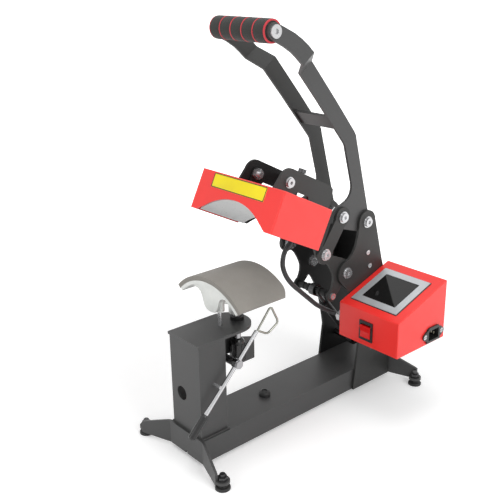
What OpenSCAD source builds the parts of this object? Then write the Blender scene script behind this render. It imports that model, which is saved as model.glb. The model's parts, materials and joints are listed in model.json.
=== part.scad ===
// Swing-away cap heat press with a curved lower platen, toggle handle and control box.
// Millimetres, +Z up, front towards -Y. The origin is on the desk, under the middle of
// the machine's outer size. Pieces are drawn about the mirror plane of the linkage and
// the front face of the pedestal, and then moved to that origin.
// The head is drawn at its raised rest pose, as is the handle.

/* [Base] */
// Width of the base beam
beam_w = 76; // [70:1:90]
// Height of the base beam
beam_h = 35; // [30:1:42]
// Gap between desk and beam
beam_lift = 6; // [5:0.5:9]
// Length of the base beam
beam_len = 390; // [385:1:400]
// Sideways reach of the levelling feet
foot_x = 91; // [88:1:100]

/* [Pedestal] */
// Width of the pedestal column
column_w = 66; // [64:1:68]
// Depth of the pedestal column
column_d = 46; // [40:1:46]
// Height of the top face of the pedestal plate
top_z = 186; // [184:0.5:189]
// Sheet thickness of the column
sheet_t = 3; // [2.5:0.5:3.5]

/* [Lower platen] */
// Radius of the outer face of the silicone pad
pad_r = 96.7; // [94:0.1:98]
// Thickness of the silicone pad
pad_t = 6.7; // [5:0.1:8]
// Half angle of the pad arc
pad_half = 45.5; // [42:0.5:46]
// Length of the pad front to back
pad_len = 89; // [84:1:90]
// Gap left for the cap between pad and heating plate
press_gap = 1.5; // [1.3:0.1:3]

/* [Head] */
// Width of the head cover
cover_w = 172; // [168:1:176]
// Height of the head cover
cover_h = 59; // [57:0.5:61]
// Sheet thickness of covers
cover_t = 1.5; // [1:0.1:1.8]
// Raised angle of the head at rest
head_tilt = 26.6; // [26.4:0.1:26.8]

/* [Linkage] */
// Thickness of the laser cut plates
plate_t = 4; // [3.5:0.1:4]
// Radius of the pivot bolts
bolt_r = 5; // [4.5:0.1:5]
// Running clearance round the pivot bolts
run_gap = 0.06; // [0.04:0.01:0.08]

/* [Handle] */
// Height of the grip axis with the handle up
grip_z = 585.2; // [575:0.2:600]
// Length of the foam grip
grip_len = 107.6; // [100:0.2:107.8]
// Radius of the foam grip
grip_r = 15.3; // [14.5:0.1:16]

/* [Control box] */
// Width of the control box
box_w = 115; // [112:1:120]
// Depth of the control box
box_d = 111; // [111:1:114]
// Height of the underside of the control box
box_z = 120; // [119:1:121]

/* [Hidden] */
$fn = 48;
// Plate layers across the machine
outer_in = beam_w / 2;
outer_out = outer_in + plate_t;
inner_out = outer_in - 0.5;
inner_in = inner_out - plate_t;
beam_top = beam_lift + beam_h;
hole_r = bolt_r + run_gap;
// Pivot points as depth and height
p1 = [268.1, 309.7];
p2 = [323.2, 290.2];
p4 = [280, 218];
p3c = [218.1, 233.7];
p5 = [269.5, 177];
p3 = up_pt(p3c);
p5o = up_pt(p5);
gs = [345, 70];
tie_a = [326, 240];
tie_b = [331.5, 217];
tie_r = 5;
// Small screws
screw_r = 2;
screw_head = 4;
// Levelling feet
foot_y = 11;
foot_r = 10.7;
stud_r = 3.95;
// Clearance of the open pivot at the foot of the links
slot_gap = 3.4;
// Clearance of the open eye at the top of the gas spring
eye_gap = 1.7;
// Platen and heating plate
pad_y = 44;
pad_zc = 165;
plate_r = pad_r + press_gap;
plate_th = 13;
shell_t = 5;
// Corner radius of the pad's rear corners and its half width in plan
pad_c = 16;
pad_x = pad_r * sin(pad_half) + 1.5;
spin_y = 95;
pin_y = 64;
spin_r = 5;
pin_r = 3;
// Head cover with the head pressed down level
cov_y = 51.1;
cov_z = 295.2;
cov_d = 98;
frame_y = 77;
frame_yr = 157;
arch_r = plate_r + 0.5;
arch_x = sqrt(arch_r * arch_r - pow(cov_z - cover_h - pad_zc, 2));
nose = [cov_y + 50.7, cov_z + 16.5];
screw_y = 157;
// Lever
lev_x = 43;
lev = [57.5, 144];
lev_a = 45.6;
lev_r = 3.1;
shaft_r = 4;
// Grip axis
grip = [118, grip_z];
// Height from which the arms stretch with the grip height
arm_z = 430;
arm_k = (grip_z - arm_z) / 155.2;
rod_r = 7;
grip_x = grip_len / 2 + 0.2;
ring_x = [-grip_len * 0.3, -grip_len * 0.1, grip_len * 0.1, grip_len * 0.3];
// Control box
box_x = outer_out;
box_y = 265;
box_fz = 175.6;
box_rz = 213.5;
slope_a = atan2(box_rz - box_fz, 111);
slope_l = box_d / cos(slope_a);
panel_u = 56.5;
panel_x = box_x + 55;
panel_w = 87;
panel_l = 84;
screen_w = 64;
screen_l = 60;
sw_x = box_x + 55;
sw_z = 144.5;
in_y = box_y + 83;
in_z = box_z + 14.5;
gland_y = box_y + 7.5;
gland_z = 147.5;
// Switch opening
key_w = 18.6;
key_h = 22.4;
// Middle of the machine's outer size, from the drawing's own origin
flange_t = 2.6;
mid_x = (box_x + box_w + flange_t - foot_x - foot_r) / 2;
mid_y = (lev[0] - 119 * cos(lev_a) - 3.8 * sin(lev_a) + beam_len + foot_y + foot_r) / 2;
// Gas spring
gs_v = p5o - gs;
gs_a = atan2(gs_v[1], gs_v[0]);
gs_len = norm(gs_v);
gs_body = 7;
gs_rod = 3.2;
// Route of the head cable
cable_r = 3.6;
cable_n = 10;
cable_pts = [
    [40.2, 272.5, 147.5],
    [33, 272.5, 147.6],
    [27.5, 270.5, 148.6],
    [23.5, 266, 151],
    [21, 260, 155],
    [19.8, 251.5, 160.3],
    [19.5, 244, 166],
    [19.8, 236.8, 171.1],
    [20.2, 228, 178.7],
    [20.8, 219.5, 186.5],
    [21.4, 210.9, 194.2],
    [22.2, 202, 202.3],
    [23, 193.4, 210],
    [24, 184.4, 218.2],
    [25, 176.9, 226],
    [25.8, 170.4, 233.8],
    [26.4, 165.5, 241.3],
    [26.8, 161.6, 249.5],
    [27, 159.3, 258],
    [27, 159.6, 266.5],
    [27, 161.7, 274.3],
    [27, 166, 281],
    [27, 171.6, 286.5],
    [27, 177.4, 291.2],
    [27, 182.4, 296.1],
    [27, 185.1, 299.5],
    [27, 186.8, 303.3],
    [27, 187.4, 307.4],
    [27, 186.8, 311.6],
    [27, 185.1, 315.4],
    [27, 182.4, 318.6],
    [27, 179.1, 320.9],
    [27, 176.9, 322]
];

// Moves a piece from the drawing's own origin to the machine's
module placed() {
    translate([-mid_x, -mid_y, 0])
        children();
}

// Plate drawn in depth and height, thick across the machine, left face at x0
module yz(x0, t) {
    translate([x0, 0, 0])
        rotate([90, 0, 90])
            linear_extrude(height = t)
                children();
}

// Round bar across the machine from x0 to x1 at a pivot point
module xbar(p, r, x0, x1) {
    translate([x0, p[0], p[1]])
        rotate([0, 90, 0])
            cylinder(r = r, h = x1 - x0);
}

// Hexagonal bar across the machine
module xhex(p, r, x0, x1) {
    translate([x0, p[0], p[1]])
        rotate([0, 90, 0])
            linear_extrude(height = x1 - x0)
                circle(r = r, $fn = 6);
}

module both() {
    children();
    mirror([1, 0, 0])
        children();
}

// Where a point drawn with the head level goes when the head is raised
function up_pt(q) =
    let (v = q - p4)
    p4 + [v[0] * cos(head_tilt) + v[1] * sin(head_tilt), v[1] * cos(head_tilt) - v[0] * sin(head_tilt)];

// Turns pieces drawn with the head pressed level up to the raised pose
module raised() {
    translate([0, p4[0], p4[1]])
        rotate([-head_tilt, 0, 0])
            translate([0, -p4[0], -p4[1]])
                children();
}

// Strip between two circles in a flat drawing
function side_pts(a, ra, b, rb) =
    let (d = norm(b - a),
         g = atan2(b[1] - a[1], b[0] - a[0]),
         k = acos((ra - rb) / d))
    [
        a + ra * [cos(g - k), sin(g - k)],
        b + rb * [cos(g - k), sin(g - k)],
        b + rb * [cos(g + k), sin(g + k)],
        a + ra * [cos(g + k), sin(g + k)]
    ];

module strap(a, ra, b, rb) {
    translate(a)
        circle(r = ra);
    translate(b)
        circle(r = rb);
    polygon(side_pts(a, ra, b, rb));
}

// Socket head bolt with a washer face, from nut end to head, on the right side
module pivot_bolt(p, head_x, end_x, nut_x) {
    difference() {
        union() {
            xbar(p, bolt_r, end_x, head_x + 0.1);
            xbar(p, 9, head_x, head_x + 1.2);
            xbar(p, 7, head_x + 1.1, head_x + 4.4);
            xhex(p, 9, nut_x - 6, nut_x);
        }
        xhex(p, 3, head_x + 1.8, head_x + 6);
    }
}

module tube_path(pts, r, n) {
    last = len(pts) - 1;
    dirs = [
        for (i = [0:last])
            let (a = pts[max(i - 1, 0)], b = pts[min(i + 1, last)])
            (b - a) / norm(b - a)
    ];
    // Sideways unit vector kept in the plane across the run
    rings = [
        for (i = [0:last])
            let (d = dirs[i],
                 u0 = cross(d, abs(d[0]) > 0.9 ? [0, 0.8, 0.6] : [1, 0, 0]),
                 u = u0 / norm(u0),
                 v = cross(d, u))
            for (k = [0:n - 1])
                pts[i] + r * (cos(360 * k / n) * u + sin(360 * k / n) * v)
    ];
    walls = [
        for (i = [0:last - 1])
            for (k = [0:n - 1])
                [i * n + k, i * n + (k + 1) % n, (i + 1) * n + (k + 1) % n, (i + 1) * n + k]
    ];
    caps = [
        [for (k = [0:n - 1]) n - 1 - k],
        [for (k = [0:n - 1]) last * n + k]
    ];
    polyhedron(points = rings, faces = concat(walls, caps), convexity = 6);
}

// Base frame

module base_beam() {
    color("#575756")
        placed()
            difference() {
                translate([-beam_w / 2, 0, beam_lift])
                    cube([beam_w, beam_len, beam_h]);
                translate([-beam_w / 2 + 3, -1, beam_lift + 3])
                    cube([beam_w - 6, beam_len + 2, beam_h - 6]);
                translate([0, 146, beam_top - 5])
                    cylinder(r = 3, h = 8);
            }
}

module leg_plate() {
    wx = foot_x - 3;
    wy = -4 - (wx - outer_in) * 0.344;
    difference() {
        union() {
            intersection() {
                translate([0, 0, beam_lift])
                    linear_extrude(height = beam_h + 1)
                        polygon([
                            [-outer_in, -4], [-wx, wy], [-wx - 1.3, wy + 3.8], [-outer_in + 0.7, 0],
                            [outer_in - 0.7, 0], [wx + 1.3, wy + 3.8], [wx, wy], [outer_in, -4]
                        ]);
                translate([0, 30, 0])
                    rotate([90, 0, 0])
                        linear_extrude(height = 80)
                            polygon([
                                [-outer_in - 6, beam_top], [-outer_in, beam_top + 1],
                                [outer_in, beam_top + 1],
                                [outer_in + 6, beam_top], [wx - 4, 26], [wx, 24], [wx + 2, 20],
                                [wx + 2, beam_lift + 2], [wx - 2, beam_lift], [2, beam_lift],
                                [2, beam_lift + 4],
                                [-2, beam_lift + 4], [-2, beam_lift], [-wx + 2, beam_lift],
                                [-wx - 2, beam_lift + 2], [-wx - 2, 20], [-wx, 24], [-wx + 4, 26]
                            ]);
            }
            // Tabs folded in from the lower edge, one over each foot
            both()
                translate([0, 0, 9.5])
                    linear_extrude(height = 4)
                        union() {
                            translate([foot_x, -foot_y])
                                circle(r = 10);
                            polygon([
                                [wx - 12, wy + 5.5], [wx - 1, wy + 2], [foot_x + 8, -foot_y - 3],
                                [foot_x - 5, -foot_y + 7]
                            ]);
                        }
        }
        both()
            translate([foot_x, -foot_y, 0])
                cylinder(r = stud_r + 0.05, h = 30);
    }
}

module front_leg_plate() {
    color("#5a5a58")
        placed()
            leg_plate();
}

module rear_leg_plate() {
    color("#5a5a58")
        placed()
            translate([0, beam_len, 0])
                mirror([0, 1, 0])
                    leg_plate();
}

// Repeats a foot at the four corners, each turned flat to its leg
module at_feet() {
    both() {
        translate([foot_x, -foot_y, 0])
            rotate([0, 0, -18.5])
                children();
        translate([foot_x, beam_len + foot_y, 0])
            rotate([0, 0, 18.5])
                children();
    }
}

module foot_screws() {
    color("#4a4a4a")
        placed()
            at_feet() {
                translate([0, 0, 2.5])
                    cylinder(r = stud_r, h = 20.5);
                translate([0, 0, 13.5])
                    cylinder(r = 7.2, h = 5.5, $fn = 6);
            }
}

module foot_pads() {
    color("#262626")
        placed()
            at_feet()
                difference() {
                    rotate_extrude()
                        polygon([
                            [0, 0], [foot_r, 0], [foot_r, 2.6], [foot_r - 1, 3.8], [6.4, 4.4],
                            [6, 5.4], [0, 5.4]
                        ]);
                    translate([0, 0, 2.5])
                        cylinder(r = stud_r + 0.05, h = 6);
                }
}

module beam_bumper() {
    color("#2a2a2a")
        placed()
            translate([0, 146, beam_top]) {
                rotate_extrude()
                    polygon([[0, 0], [9, 0], [9, 4], [7.6, 6.4], [4.5, 7.6], [4.5, 6], [0, 6]]);
                translate([0, 0, -5])
                    cylinder(r = 2.9, h = 5.5);
            }
}

// Pedestal

module pedestal_column() {
    color("#5c5c5a")
        placed()
            difference() {
                union() {
                    translate([-column_w / 2, 0, beam_top])
                        cube([column_w, column_d, top_z - 4 - beam_top]);
                    translate([-column_w / 2 - 3, 0, beam_top])
                        cube([column_w + 6, column_d + 2, 2.5]);
                }
                translate([-column_w / 2 + sheet_t, sheet_t, beam_top - 1])
                    cube([column_w - 2 * sheet_t, column_d + 10, top_z]);
                translate([-9.6, -1, 98])
                    rotate([-90, 0, 0])
                        cylinder(r = 10.6, h = sheet_t + 2);
                xbar([24.9, 120.4], 2.5, column_w / 2 - sheet_t - 1, column_w / 2 + 1);
            }
}

module pedestal_top_plate() {
    color("#5a5a58")
        placed()
            difference() {
                translate([0, 0, top_z - 4])
                    linear_extrude(height = 4)
                        union() {
                            translate([-34, -2])
                                square([68, 79]);
                            translate([0, 77])
                                circle(r = 34);
                        }
                translate([0, pin_y, top_z - 5])
                    cylinder(r = pin_r + run_gap, h = 6);
                translate([0, spin_y, top_z - 5])
                    cylinder(r = spin_r + run_gap, h = 6);
            }
}

module rear_bracket() {
    color("#4c4c4a")
        placed()
            difference() {
                yz(-16, 3)
                    polygon([
                        [48, top_z - 4], [48, 132], [104, 126], [108, 103], [138, 103],
                        [138, 138], [112, 146], [112, top_z - 4]
                    ]);
                xbar(lev, shaft_r + 0.01, -20, -10);
            }
}

module stop_pin() {
    color("#cfcfcf")
        placed()
            xbar([24.9, 120.4], 2.5, column_w / 2 - sheet_t, lev_x + 4);
}

// Rear column

module side_plate() {
    difference() {
        yz(outer_in, plate_t)
            union() {
                translate(p2)
                    circle(r = 18.5);
                translate(p4)
                    circle(r = 18.5);
                polygon([
                    [303, beam_lift], [beam_len, beam_lift], [beam_len, 70], [366, 205], [360.5, 222],
                    [341.5, 292], [323.2, 290.2], [304.9, 287.5], [303.2, 273], [298.5, 256], [291, 245],
                    [282.5, 238.5], [275, 235.8], [280, 218], [263.5, 209.4], [268.5, 203.2], [284, 187.4],
                    [300, 160], [309.5, 118.3], [314, 95], [303, 15]
                ]);
            }
        xbar(p2, bolt_r + 0.01, outer_in - 1, outer_out + 1);
        xbar(p4, bolt_r + 0.01, outer_in - 1, outer_out + 1);
        xbar(tie_a, screw_r + 0.05, outer_in - 1, outer_out + 1);
        xbar(tie_b, screw_r + 0.05, outer_in - 1, outer_out + 1);
        xbar(gs, tie_r + 0.01, outer_in - 1, outer_out + 1);
    }
}

module side_plate_right() {
    color("#5a5a58")
        placed()
            side_plate();
}

module side_plate_left() {
    color("#4c4c4a")
        placed()
            mirror([1, 0, 0])
                side_plate();
}

// Folded plate that closes the back between the side plates
module rear_cross_plate() {
    along = (tie_b - tie_a) / norm(tie_b - tie_a);
    out = [-along[1], along[0]];
    color("#3a3a38")
        placed()
            difference() {
                union() {
                    yz(-outer_in, 2 * outer_in)
                        polygon([
                            tie_a - 26 * along + 9 * out, tie_a + 44 * along + 9 * out,
                            tie_a + 44 * along + 11.5 * out, tie_a - 26 * along + 11.5 * out
                        ]);
                    both()
                        yz(outer_in - 2.5, 2.5)
                            polygon([
                                tie_a - 14 * along - 9 * out, tie_a + 38 * along - 9 * out,
                                tie_a + 42 * along - 5 * out, tie_a + 42 * along + 10 * out,
                                tie_a - 18 * along + 10 * out, tie_a - 18 * along - 5 * out
                            ]);
                }
                for (q = [tie_a, tie_b])
                    xbar(q, screw_r + 0.05, -outer_in - 1, outer_in + 1);
            }
}

module spring_pin() {
    color("#3f3f3f")
        placed()
            xbar(gs, tie_r, -outer_out + 0.2, outer_out - 0.2);
}

module pivot_bolts() {
    color("#d6d7d8")
        placed()
            both()
                for (p = [p2, p4])
                    pivot_bolt(p, outer_out, 27, inner_in - 0.2);
}

// Control box

module box_tilt(u) {
    translate([0, box_y, box_fz])
        rotate([slope_a, 0, 0])
            translate([0, u, 0])
                children();
}

module box_profile(o) {
    polygon([
        [box_y + o, box_z + o], [box_y + box_d - o, box_z + o],
        [box_y + box_d - o, box_fz + box_d * tan(slope_a) - o / cos(slope_a) - o * tan(slope_a)],
        [box_y + o, box_fz - o / cos(slope_a) + o * tan(slope_a)]
    ]);
}

// Outside of the box with its bent edges
module box_body() {
    bend = 2.2;
    k = bend * tan((90 - slope_a) / 2);
    mid_a = (270 - slope_a) / 2;
    intersection() {
        yz(box_x, box_w)
            polygon([
                [box_y, box_z], [box_y + box_d, box_z],
                [box_y + box_d, box_fz + box_d * tan(slope_a)],
                [box_y + k * cos(slope_a), box_fz + k * sin(slope_a)],
                [box_y + bend + bend * cos(mid_a - 12), box_fz - k + bend * sin(mid_a - 12)],
                [box_y + bend + bend * cos(mid_a + 18), box_fz - k + bend * sin(mid_a + 18)],
                [box_y, box_fz - k]
            ]);
        // Long slanting edges and upright front edges on the two sides
        translate([0, box_y, box_fz])
            rotate([slope_a, 0, 0])
                translate([0, 200, 0])
                    rotate([90, 0, 0])
                        linear_extrude(height = 300)
                            polygon([
                                [box_x - 1, -250], [box_x + box_w + 1, -250],
                                [box_x + box_w + 1, -1.9], [box_x + box_w - 2.9, 2],
                                [box_x + 2.9, 2], [box_x - 1, -1.9]
                            ]);
        translate([0, 0, box_z - 1])
            linear_extrude(height = 200)
                polygon([
                    [box_x + 2.9, box_y - 2], [box_x + box_w - 2.9, box_y - 2],
                    [box_x + box_w + 1, box_y + 1.9], [box_x + box_w + 1, box_y + 200],
                    [box_x - 1, box_y + 200], [box_x - 1, box_y + 1.9]
                ]);
    }
}

module box_shell() {
    color("#ee4038")
        placed()
            difference() {
                box_body();
                yz(box_x + cover_t, box_w - 2 * cover_t)
                    union() {
                        box_profile(cover_t);
                        translate([box_y + box_d / 2, box_z - 2])
                            square([box_d / 2 + 3, 50]);
                        translate([box_y + cover_t, box_z - 2])
                            square([box_d, 10]);
                        translate([box_y + box_d - 10, box_z])
                            square([20, box_rz - box_z - 4.5]);
                    }
                box_tilt(panel_u)
                    translate([panel_x, 0, 0])
                        cube([panel_w - 8, panel_l - 8, 12], center = true);
                translate([sw_x, box_y, sw_z])
                    cube([21.2, 12, 26.2], center = true);
                translate([box_x + box_w, in_y, in_z])
                    cube([12, 30.2, 22.2], center = true);
                xbar([gland_y, gland_z], 5, box_x - 1, box_x + cover_t + 1);
                for (dy = [-20, 20])
                    xbar([in_y + dy, in_z], screw_r + 0.05, box_x + box_w - 3, box_x + box_w + 1);
            }
}

module box_back_cover() {
    color("#3a3a3a")
        placed()
            union() {
                translate([box_x + cover_t + 0.1, box_y + cover_t, box_z])
                    cube([box_w - 2 * cover_t - 0.2, box_d - cover_t, 1.5]);
                translate([box_x + cover_t + 0.1, box_y + box_d - 1.5, box_z])
                    cube([box_w - 2 * cover_t - 0.2, 1.5, box_rz - box_z - 5]);
            }
}

module panel_frame() {
    color("#c3c4c8")
        placed()
            box_tilt(panel_u)
                translate([panel_x, 0, 0])
                    difference() {
                        union() {
                            translate([-panel_w / 2, -panel_l / 2, 0])
                                cube([panel_w, panel_l, 1.6]);
                            translate([-panel_w / 2 + 4.2, -panel_l / 2 + 4.2, -6])
                                cube([panel_w - 8.4, panel_l - 8.4, 6.1]);
                        }
                        translate([-screen_w / 2, -screen_l / 2, -4])
                            cube([screen_w, screen_l, 8]);
                        translate([-screen_w / 2 - 5, -screen_l / 2 - 5, -7])
                            cube([screen_w + 10, screen_l + 10, 4]);
                    }
}

module panel_screen() {
    color("#1b1c1a")
        placed()
            box_tilt(panel_u)
                translate([panel_x, 0, 0])
                    union() {
                        translate([-screen_w / 2 + 0.1, -screen_l / 2 + 0.1, -3.05])
                            cube([screen_w - 0.2, screen_l - 0.2, 4.15]);
                        translate([-screen_w / 2 - 4, -screen_l / 2 - 4, -5])
                            cube([screen_w + 8, screen_l + 8, 2]);
                    }
}

module control_board() {
    color("#2f6b3a")
        placed()
            box_tilt(panel_u)
                translate([panel_x, 0, 0])
                    union() {
                        translate([-36, -34, -14])
                            cube([72, 68, 1.6]);
                        for (x = [-31, 31])
                            for (y = [-29, 29])
                                translate([x, y, -12.5])
                                    cylinder(r = 2.5, h = 7.5);
                        translate([-24, -10, -32])
                            cube([26, 22, 18.1]);
                        translate([10, -22, -26])
                            cube([14, 14, 12.1]);
                    }
}

module switch_bezel() {
    color("#30312e")
        placed()
            translate([sw_x, box_y, sw_z])
                rotate([90, 0, 0])
                    difference() {
                        union() {
                            translate([-12.7, -15.5, 0])
                                cube([25.4, 31, 2]);
                            translate([-10.5, -13, -14])
                                cube([21, 26, 14.1]);
                        }
                        translate([-key_w / 2, -key_h / 2, -10])
                            cube([key_w, key_h, 20]);
                        translate([0, 0, -3])
                            rotate([0, 90, 0])
                                cylinder(r = 1.56, h = key_w + 1.4, center = true);
                    }
}

module switch_rocker() {
    color("#e8262a")
        placed()
            translate([sw_x, box_y, sw_z])
                rotate([90, 0, 0])
                    translate([0, 0, -3])
                        union() {
                            translate([-key_w / 2 + 0.3, 0, 0])
                                rotate([90, 0, 90])
                                    linear_extrude(height = key_w - 0.6)
                                        polygon([
                                            [-10.7, 5.9], [-7.4, -3.4], [8, -1.5], [9.1, 8.4], [7.6, 8.7],
                                            [-0.8, 6.4], [-9.6, 6.6]
                                        ]);
                            rotate([0, 90, 0])
                                cylinder(r = 1.5, h = key_w + 1, center = true);
                        }
}

module power_inlet() {
    color("#232323")
        placed()
            translate([box_x + box_w, in_y, in_z])
                rotate([90, 0, 90])
                    difference() {
                        union() {
                            linear_extrude(height = flange_t)
                                union() {
                                    translate([-16, -12])
                                        square([32, 20]);
                                    translate([-10, 7])
                                        square([20, 5.5]);
                                    polygon([[-16, 8], [-10, 12.5], [10, 12.5], [16, 8]]);
                                    for (s = [-1, 1])
                                        strap([s * 20, 0], 4.8, [s * 13, 0], 9);
                                }
                            translate([-15, -11, -16])
                                cube([30, 22, 16.1]);
                        }
                        translate([-12, -8.5, -13])
                            cube([24, 16, 20]);
                        for (s = [-1, 1])
                            translate([s * 20, 0, 0]) {
                                translate([0, 0, -1])
                                    cylinder(r = screw_r + 0.05, h = 8);
                                translate([0, 0, flange_t - 1.8])
                                    cylinder(r = screw_head + 0.1, h = 4);
                            }
                    }
}

// Pan head screw with a slot, head seated at x0
module small_screw(q, x0) {
    difference() {
        union() {
            xbar(q, screw_r, x0 - 6.6, x0 + 0.1);
            xbar(q, screw_head, x0, x0 + 1.6);
        }
        translate([x0 + 1.1, q[0] - 5, q[1] - 0.5])
            cube([2, 10, 1]);
    }
}

module small_screws() {
    color("#d2d3d4")
        placed() {
            for (s = [-20, 20])
                small_screw([in_y + s, in_z], box_x + box_w + flange_t - 1.8);
            for (q = [tie_a, tie_b]) {
                small_screw(q, outer_out);
                mirror([1, 0, 0])
                    small_screw(q, outer_out);
            }
        }
}

module cable_gland() {
    color("#d8d9da")
        placed()
            difference() {
                union() {
                    xbar([gland_y, gland_z], 4.9, box_x - 0.1, box_x + cover_t + 5);
                    xhex([gland_y, gland_z], 9, box_x - 6, box_x);
                    xbar([gland_y, gland_z], 6.2, box_x - 9, box_x - 5.9);
                    xhex([gland_y, gland_z], 6.4, box_x + cover_t, box_x + cover_t + 3);
                }
                xbar([gland_y, gland_z], cable_r + 0.2, box_x - 10, box_x + cover_t + 6);
            }
}

// Lower platen and pressure screw

module platen_plan() {
    translate([0, 0, 150])
        linear_extrude(height = 130)
            union() {
                translate([-72, pad_y])
                    square([144, pad_len - pad_c]);
                translate([-pad_x + pad_c, pad_y])
                    square([2 * pad_x - 2 * pad_c, pad_len]);
                for (s = [-1, 1])
                    translate([s * (pad_x - pad_c), pad_y + pad_len - pad_c])
                        circle(r = pad_c);
            }
}

module arc_band(r0, r1, half, y0, len) {
    translate([0, y0, pad_zc])
        rotate([-90, 0, 0])
            mirror([0, 1, 0])
                linear_extrude(height = len)
                    difference() {
                        intersection() {
                            circle(r = r1, $fn = 120);
                            polygon([[0, 0], [2 * r1 * tan(-half), 2 * r1], [2 * r1 * tan(half), 2 * r1]]);
                        }
                        circle(r = r0, $fn = 120);
                    }
}

module platen_pad() {
    color("#8d8882")
        placed()
            intersection() {
                arc_band(pad_r - pad_t, pad_r, pad_half, pad_y - 1, pad_len + 2);
                platen_plan();
            }
}

module platen_casting() {
    shell_o = pad_r - pad_t;
    shell_i = shell_o - shell_t;
    color("#dcdedb")
        placed()
            difference() {
                union() {
                    intersection() {
                        arc_band(shell_i, shell_o, pad_half - 1, pad_y, pad_len + 2);
                        platen_plan();
                    }
                    // Bell shaped web under the front and the ribs behind it
                    intersection() {
                        translate([0, pad_y + 9, 0])
                            rotate([90, 0, 0])
                                linear_extrude(height = 5)
                                    polygon([
                                        [-50, 240], [-36, 239.4], [-27, 238.4], [-22, 235.6], [-18.6, 230.4],
                                        [-16.2, 223], [-13.4, 216.4], [-9.4, 212.6], [-3.4, 211.2],
                                        [3.4, 211.2], [9.4, 212.6], [13.4, 216.4], [16.2, 223],
                                        [18.6, 230.4], [22, 235.6], [27, 238.4], [36, 239.4], [50, 240],
                                        [50, 260], [-50, 260]
                                    ]);
                        arc_band(40, shell_i + 1, 60, pad_y, pad_len + 2);
                    }
                    for (s = [-1, 1])
                        intersection() {
                            translate([s * 22 - 2.5, pad_y + 6, 238])
                                cube([5, pad_len - 16, 22]);
                            arc_band(40, shell_i + 1, 60, pad_y, pad_len + 2);
                        }
                    intersection() {
                        yz(-3, 6)
                            polygon([[50, 258], [52, 224], [84, 212], [106, 212], [120, 240], [122, 258]]);
                        arc_band(40, shell_i + 1, 60, pad_y, pad_len + 2);
                    }
                    intersection() {
                        translate([-36, spin_y - 3, 214])
                            cube([72, 6, 44]);
                        arc_band(shell_i - 16, shell_i + 1, 60, pad_y, pad_len + 2);
                    }
                    translate([0, spin_y, top_z + 11])
                        cylinder(r = 12, h = 237 - top_z);
                    translate([0, pin_y, 208])
                        cylinder(r = 7, h = 40);
                }
                translate([0, spin_y, 190])
                    cylinder(r = spin_r + run_gap, h = 51);
                translate([0, pin_y, 200])
                    cylinder(r = pin_r + 0.01, h = 38);
            }
}

module guide_pin() {
    color("#d5d6d7")
        placed()
            translate([0, pin_y, 165])
                cylinder(r = pin_r, h = 73);
}

module pressure_spindle() {
    color("#b9bbbd")
        placed()
            translate([0, spin_y, 0])
                union() {
                    translate([0, 0, 130])
                        cylinder(r = spin_r, h = 104);
                    translate([0, 0, top_z - 7.5])
                        cylinder(r = 8, h = 3.3);
                }
}

module spindle_collar() {
    color("#2b2b2b")
        placed()
            translate([0, spin_y, top_z + 0.2])
                difference() {
                    cylinder(r = 10, h = 4.6);
                    translate([0, 0, -1])
                        cylinder(r = spin_r + 0.01, h = 7);
                }
}

module pressure_knob() {
    color("#1d1d1d")
        placed()
            translate([0, spin_y, 120])
                difference() {
                    union() {
                        translate([0, 0, 1.5])
                            linear_extrude(height = 27)
                                union() {
                                    circle(r = 11);
                                    for (a = [0:45:315])
                                        rotate(a)
                                            translate([10, 0])
                                                circle(r = 2.2);
                                }
                        rotate_extrude()
                            polygon([
                                [0, 0], [9, 0], [10.5, 1.6], [10.5, 28.4], [9.6, 32], [7.5, 35],
                                [5, 36.5], [0, 36.5]
                            ]);
                    }
                    translate([0, 0, 10])
                        cylinder(r = spin_r + 0.01, h = 30);
                }
}

// Cap lever

module along_lever() {
    translate([lev_x, lev[0], lev[1]])
        rotate([0, 0, 90])
            rotate([0, 90 - lev_a, 0])
                children();
}

module lever_tube() {
    color("#dfe0e1")
        placed()
            difference() {
                union() {
                    along_lever()
                        translate([0, 0, -117])
                            cylinder(r = lev_r, h = 170);
                    xbar(lev, 7, lev_x - 4, lev_x + 4);
                }
                xbar(lev, shaft_r + run_gap, lev_x - 10, lev_x + 10);
            }
}

module lever_grip() {
    color("#2b2b2a")
        placed()
            along_lever()
                difference() {
                    translate([0, 0, -119])
                        rotate_extrude()
                            polygon([[0, 0], [3.8, 0], [5.6, 2], [5.6, 35], [4.6, 38], [0, 38]]);
                    translate([0, 0, -117])
                        cylinder(r = lev_r + 0.01, h = 60);
                }
}

module lever_loop() {
    pts = [
        [51.5, -1.2], [88, 1.4], [90.4, 0.2], [91.4, -2.6], [84, -24], [81.5, -27], [78, -27.8],
        [63, -23.6], [59.5, -21], [57.8, -17.4], [54.5, -3.8]
    ];
    color("#d9dadb")
        placed()
            along_lever()
                difference() {
                    union()
                        for (i = [0:len(pts) - 1])
                            let (a = pts[i],
                                 b = pts[min(i + 1, len(pts) - 1)],
                                 g = atan2(b[1] - a[1], b[0] - a[0]))
                                translate([-a[1], 0, a[0]])
                                    union() {
                                        sphere(r = 1.66);
                                        if (i < len(pts) - 1)
                                            rotate([0, -g, 0])
                                                cylinder(r = 1.6, h = norm(b - a));
                                    }
                    translate([0, 0, 20])
                        cylinder(r = lev_r, h = 33);
                }
}

module lever_shaft() {
    color("#c6c7c8")
        placed()
            union() {
                xbar(lev, shaft_r, -16, lev_x + 4.3);
                xbar(lev, 5.6, 8, lev_x - 4.2);
                xbar(lev, 6, lev_x + 4.2, lev_x + 6.5);
            }
}

// Head

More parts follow.
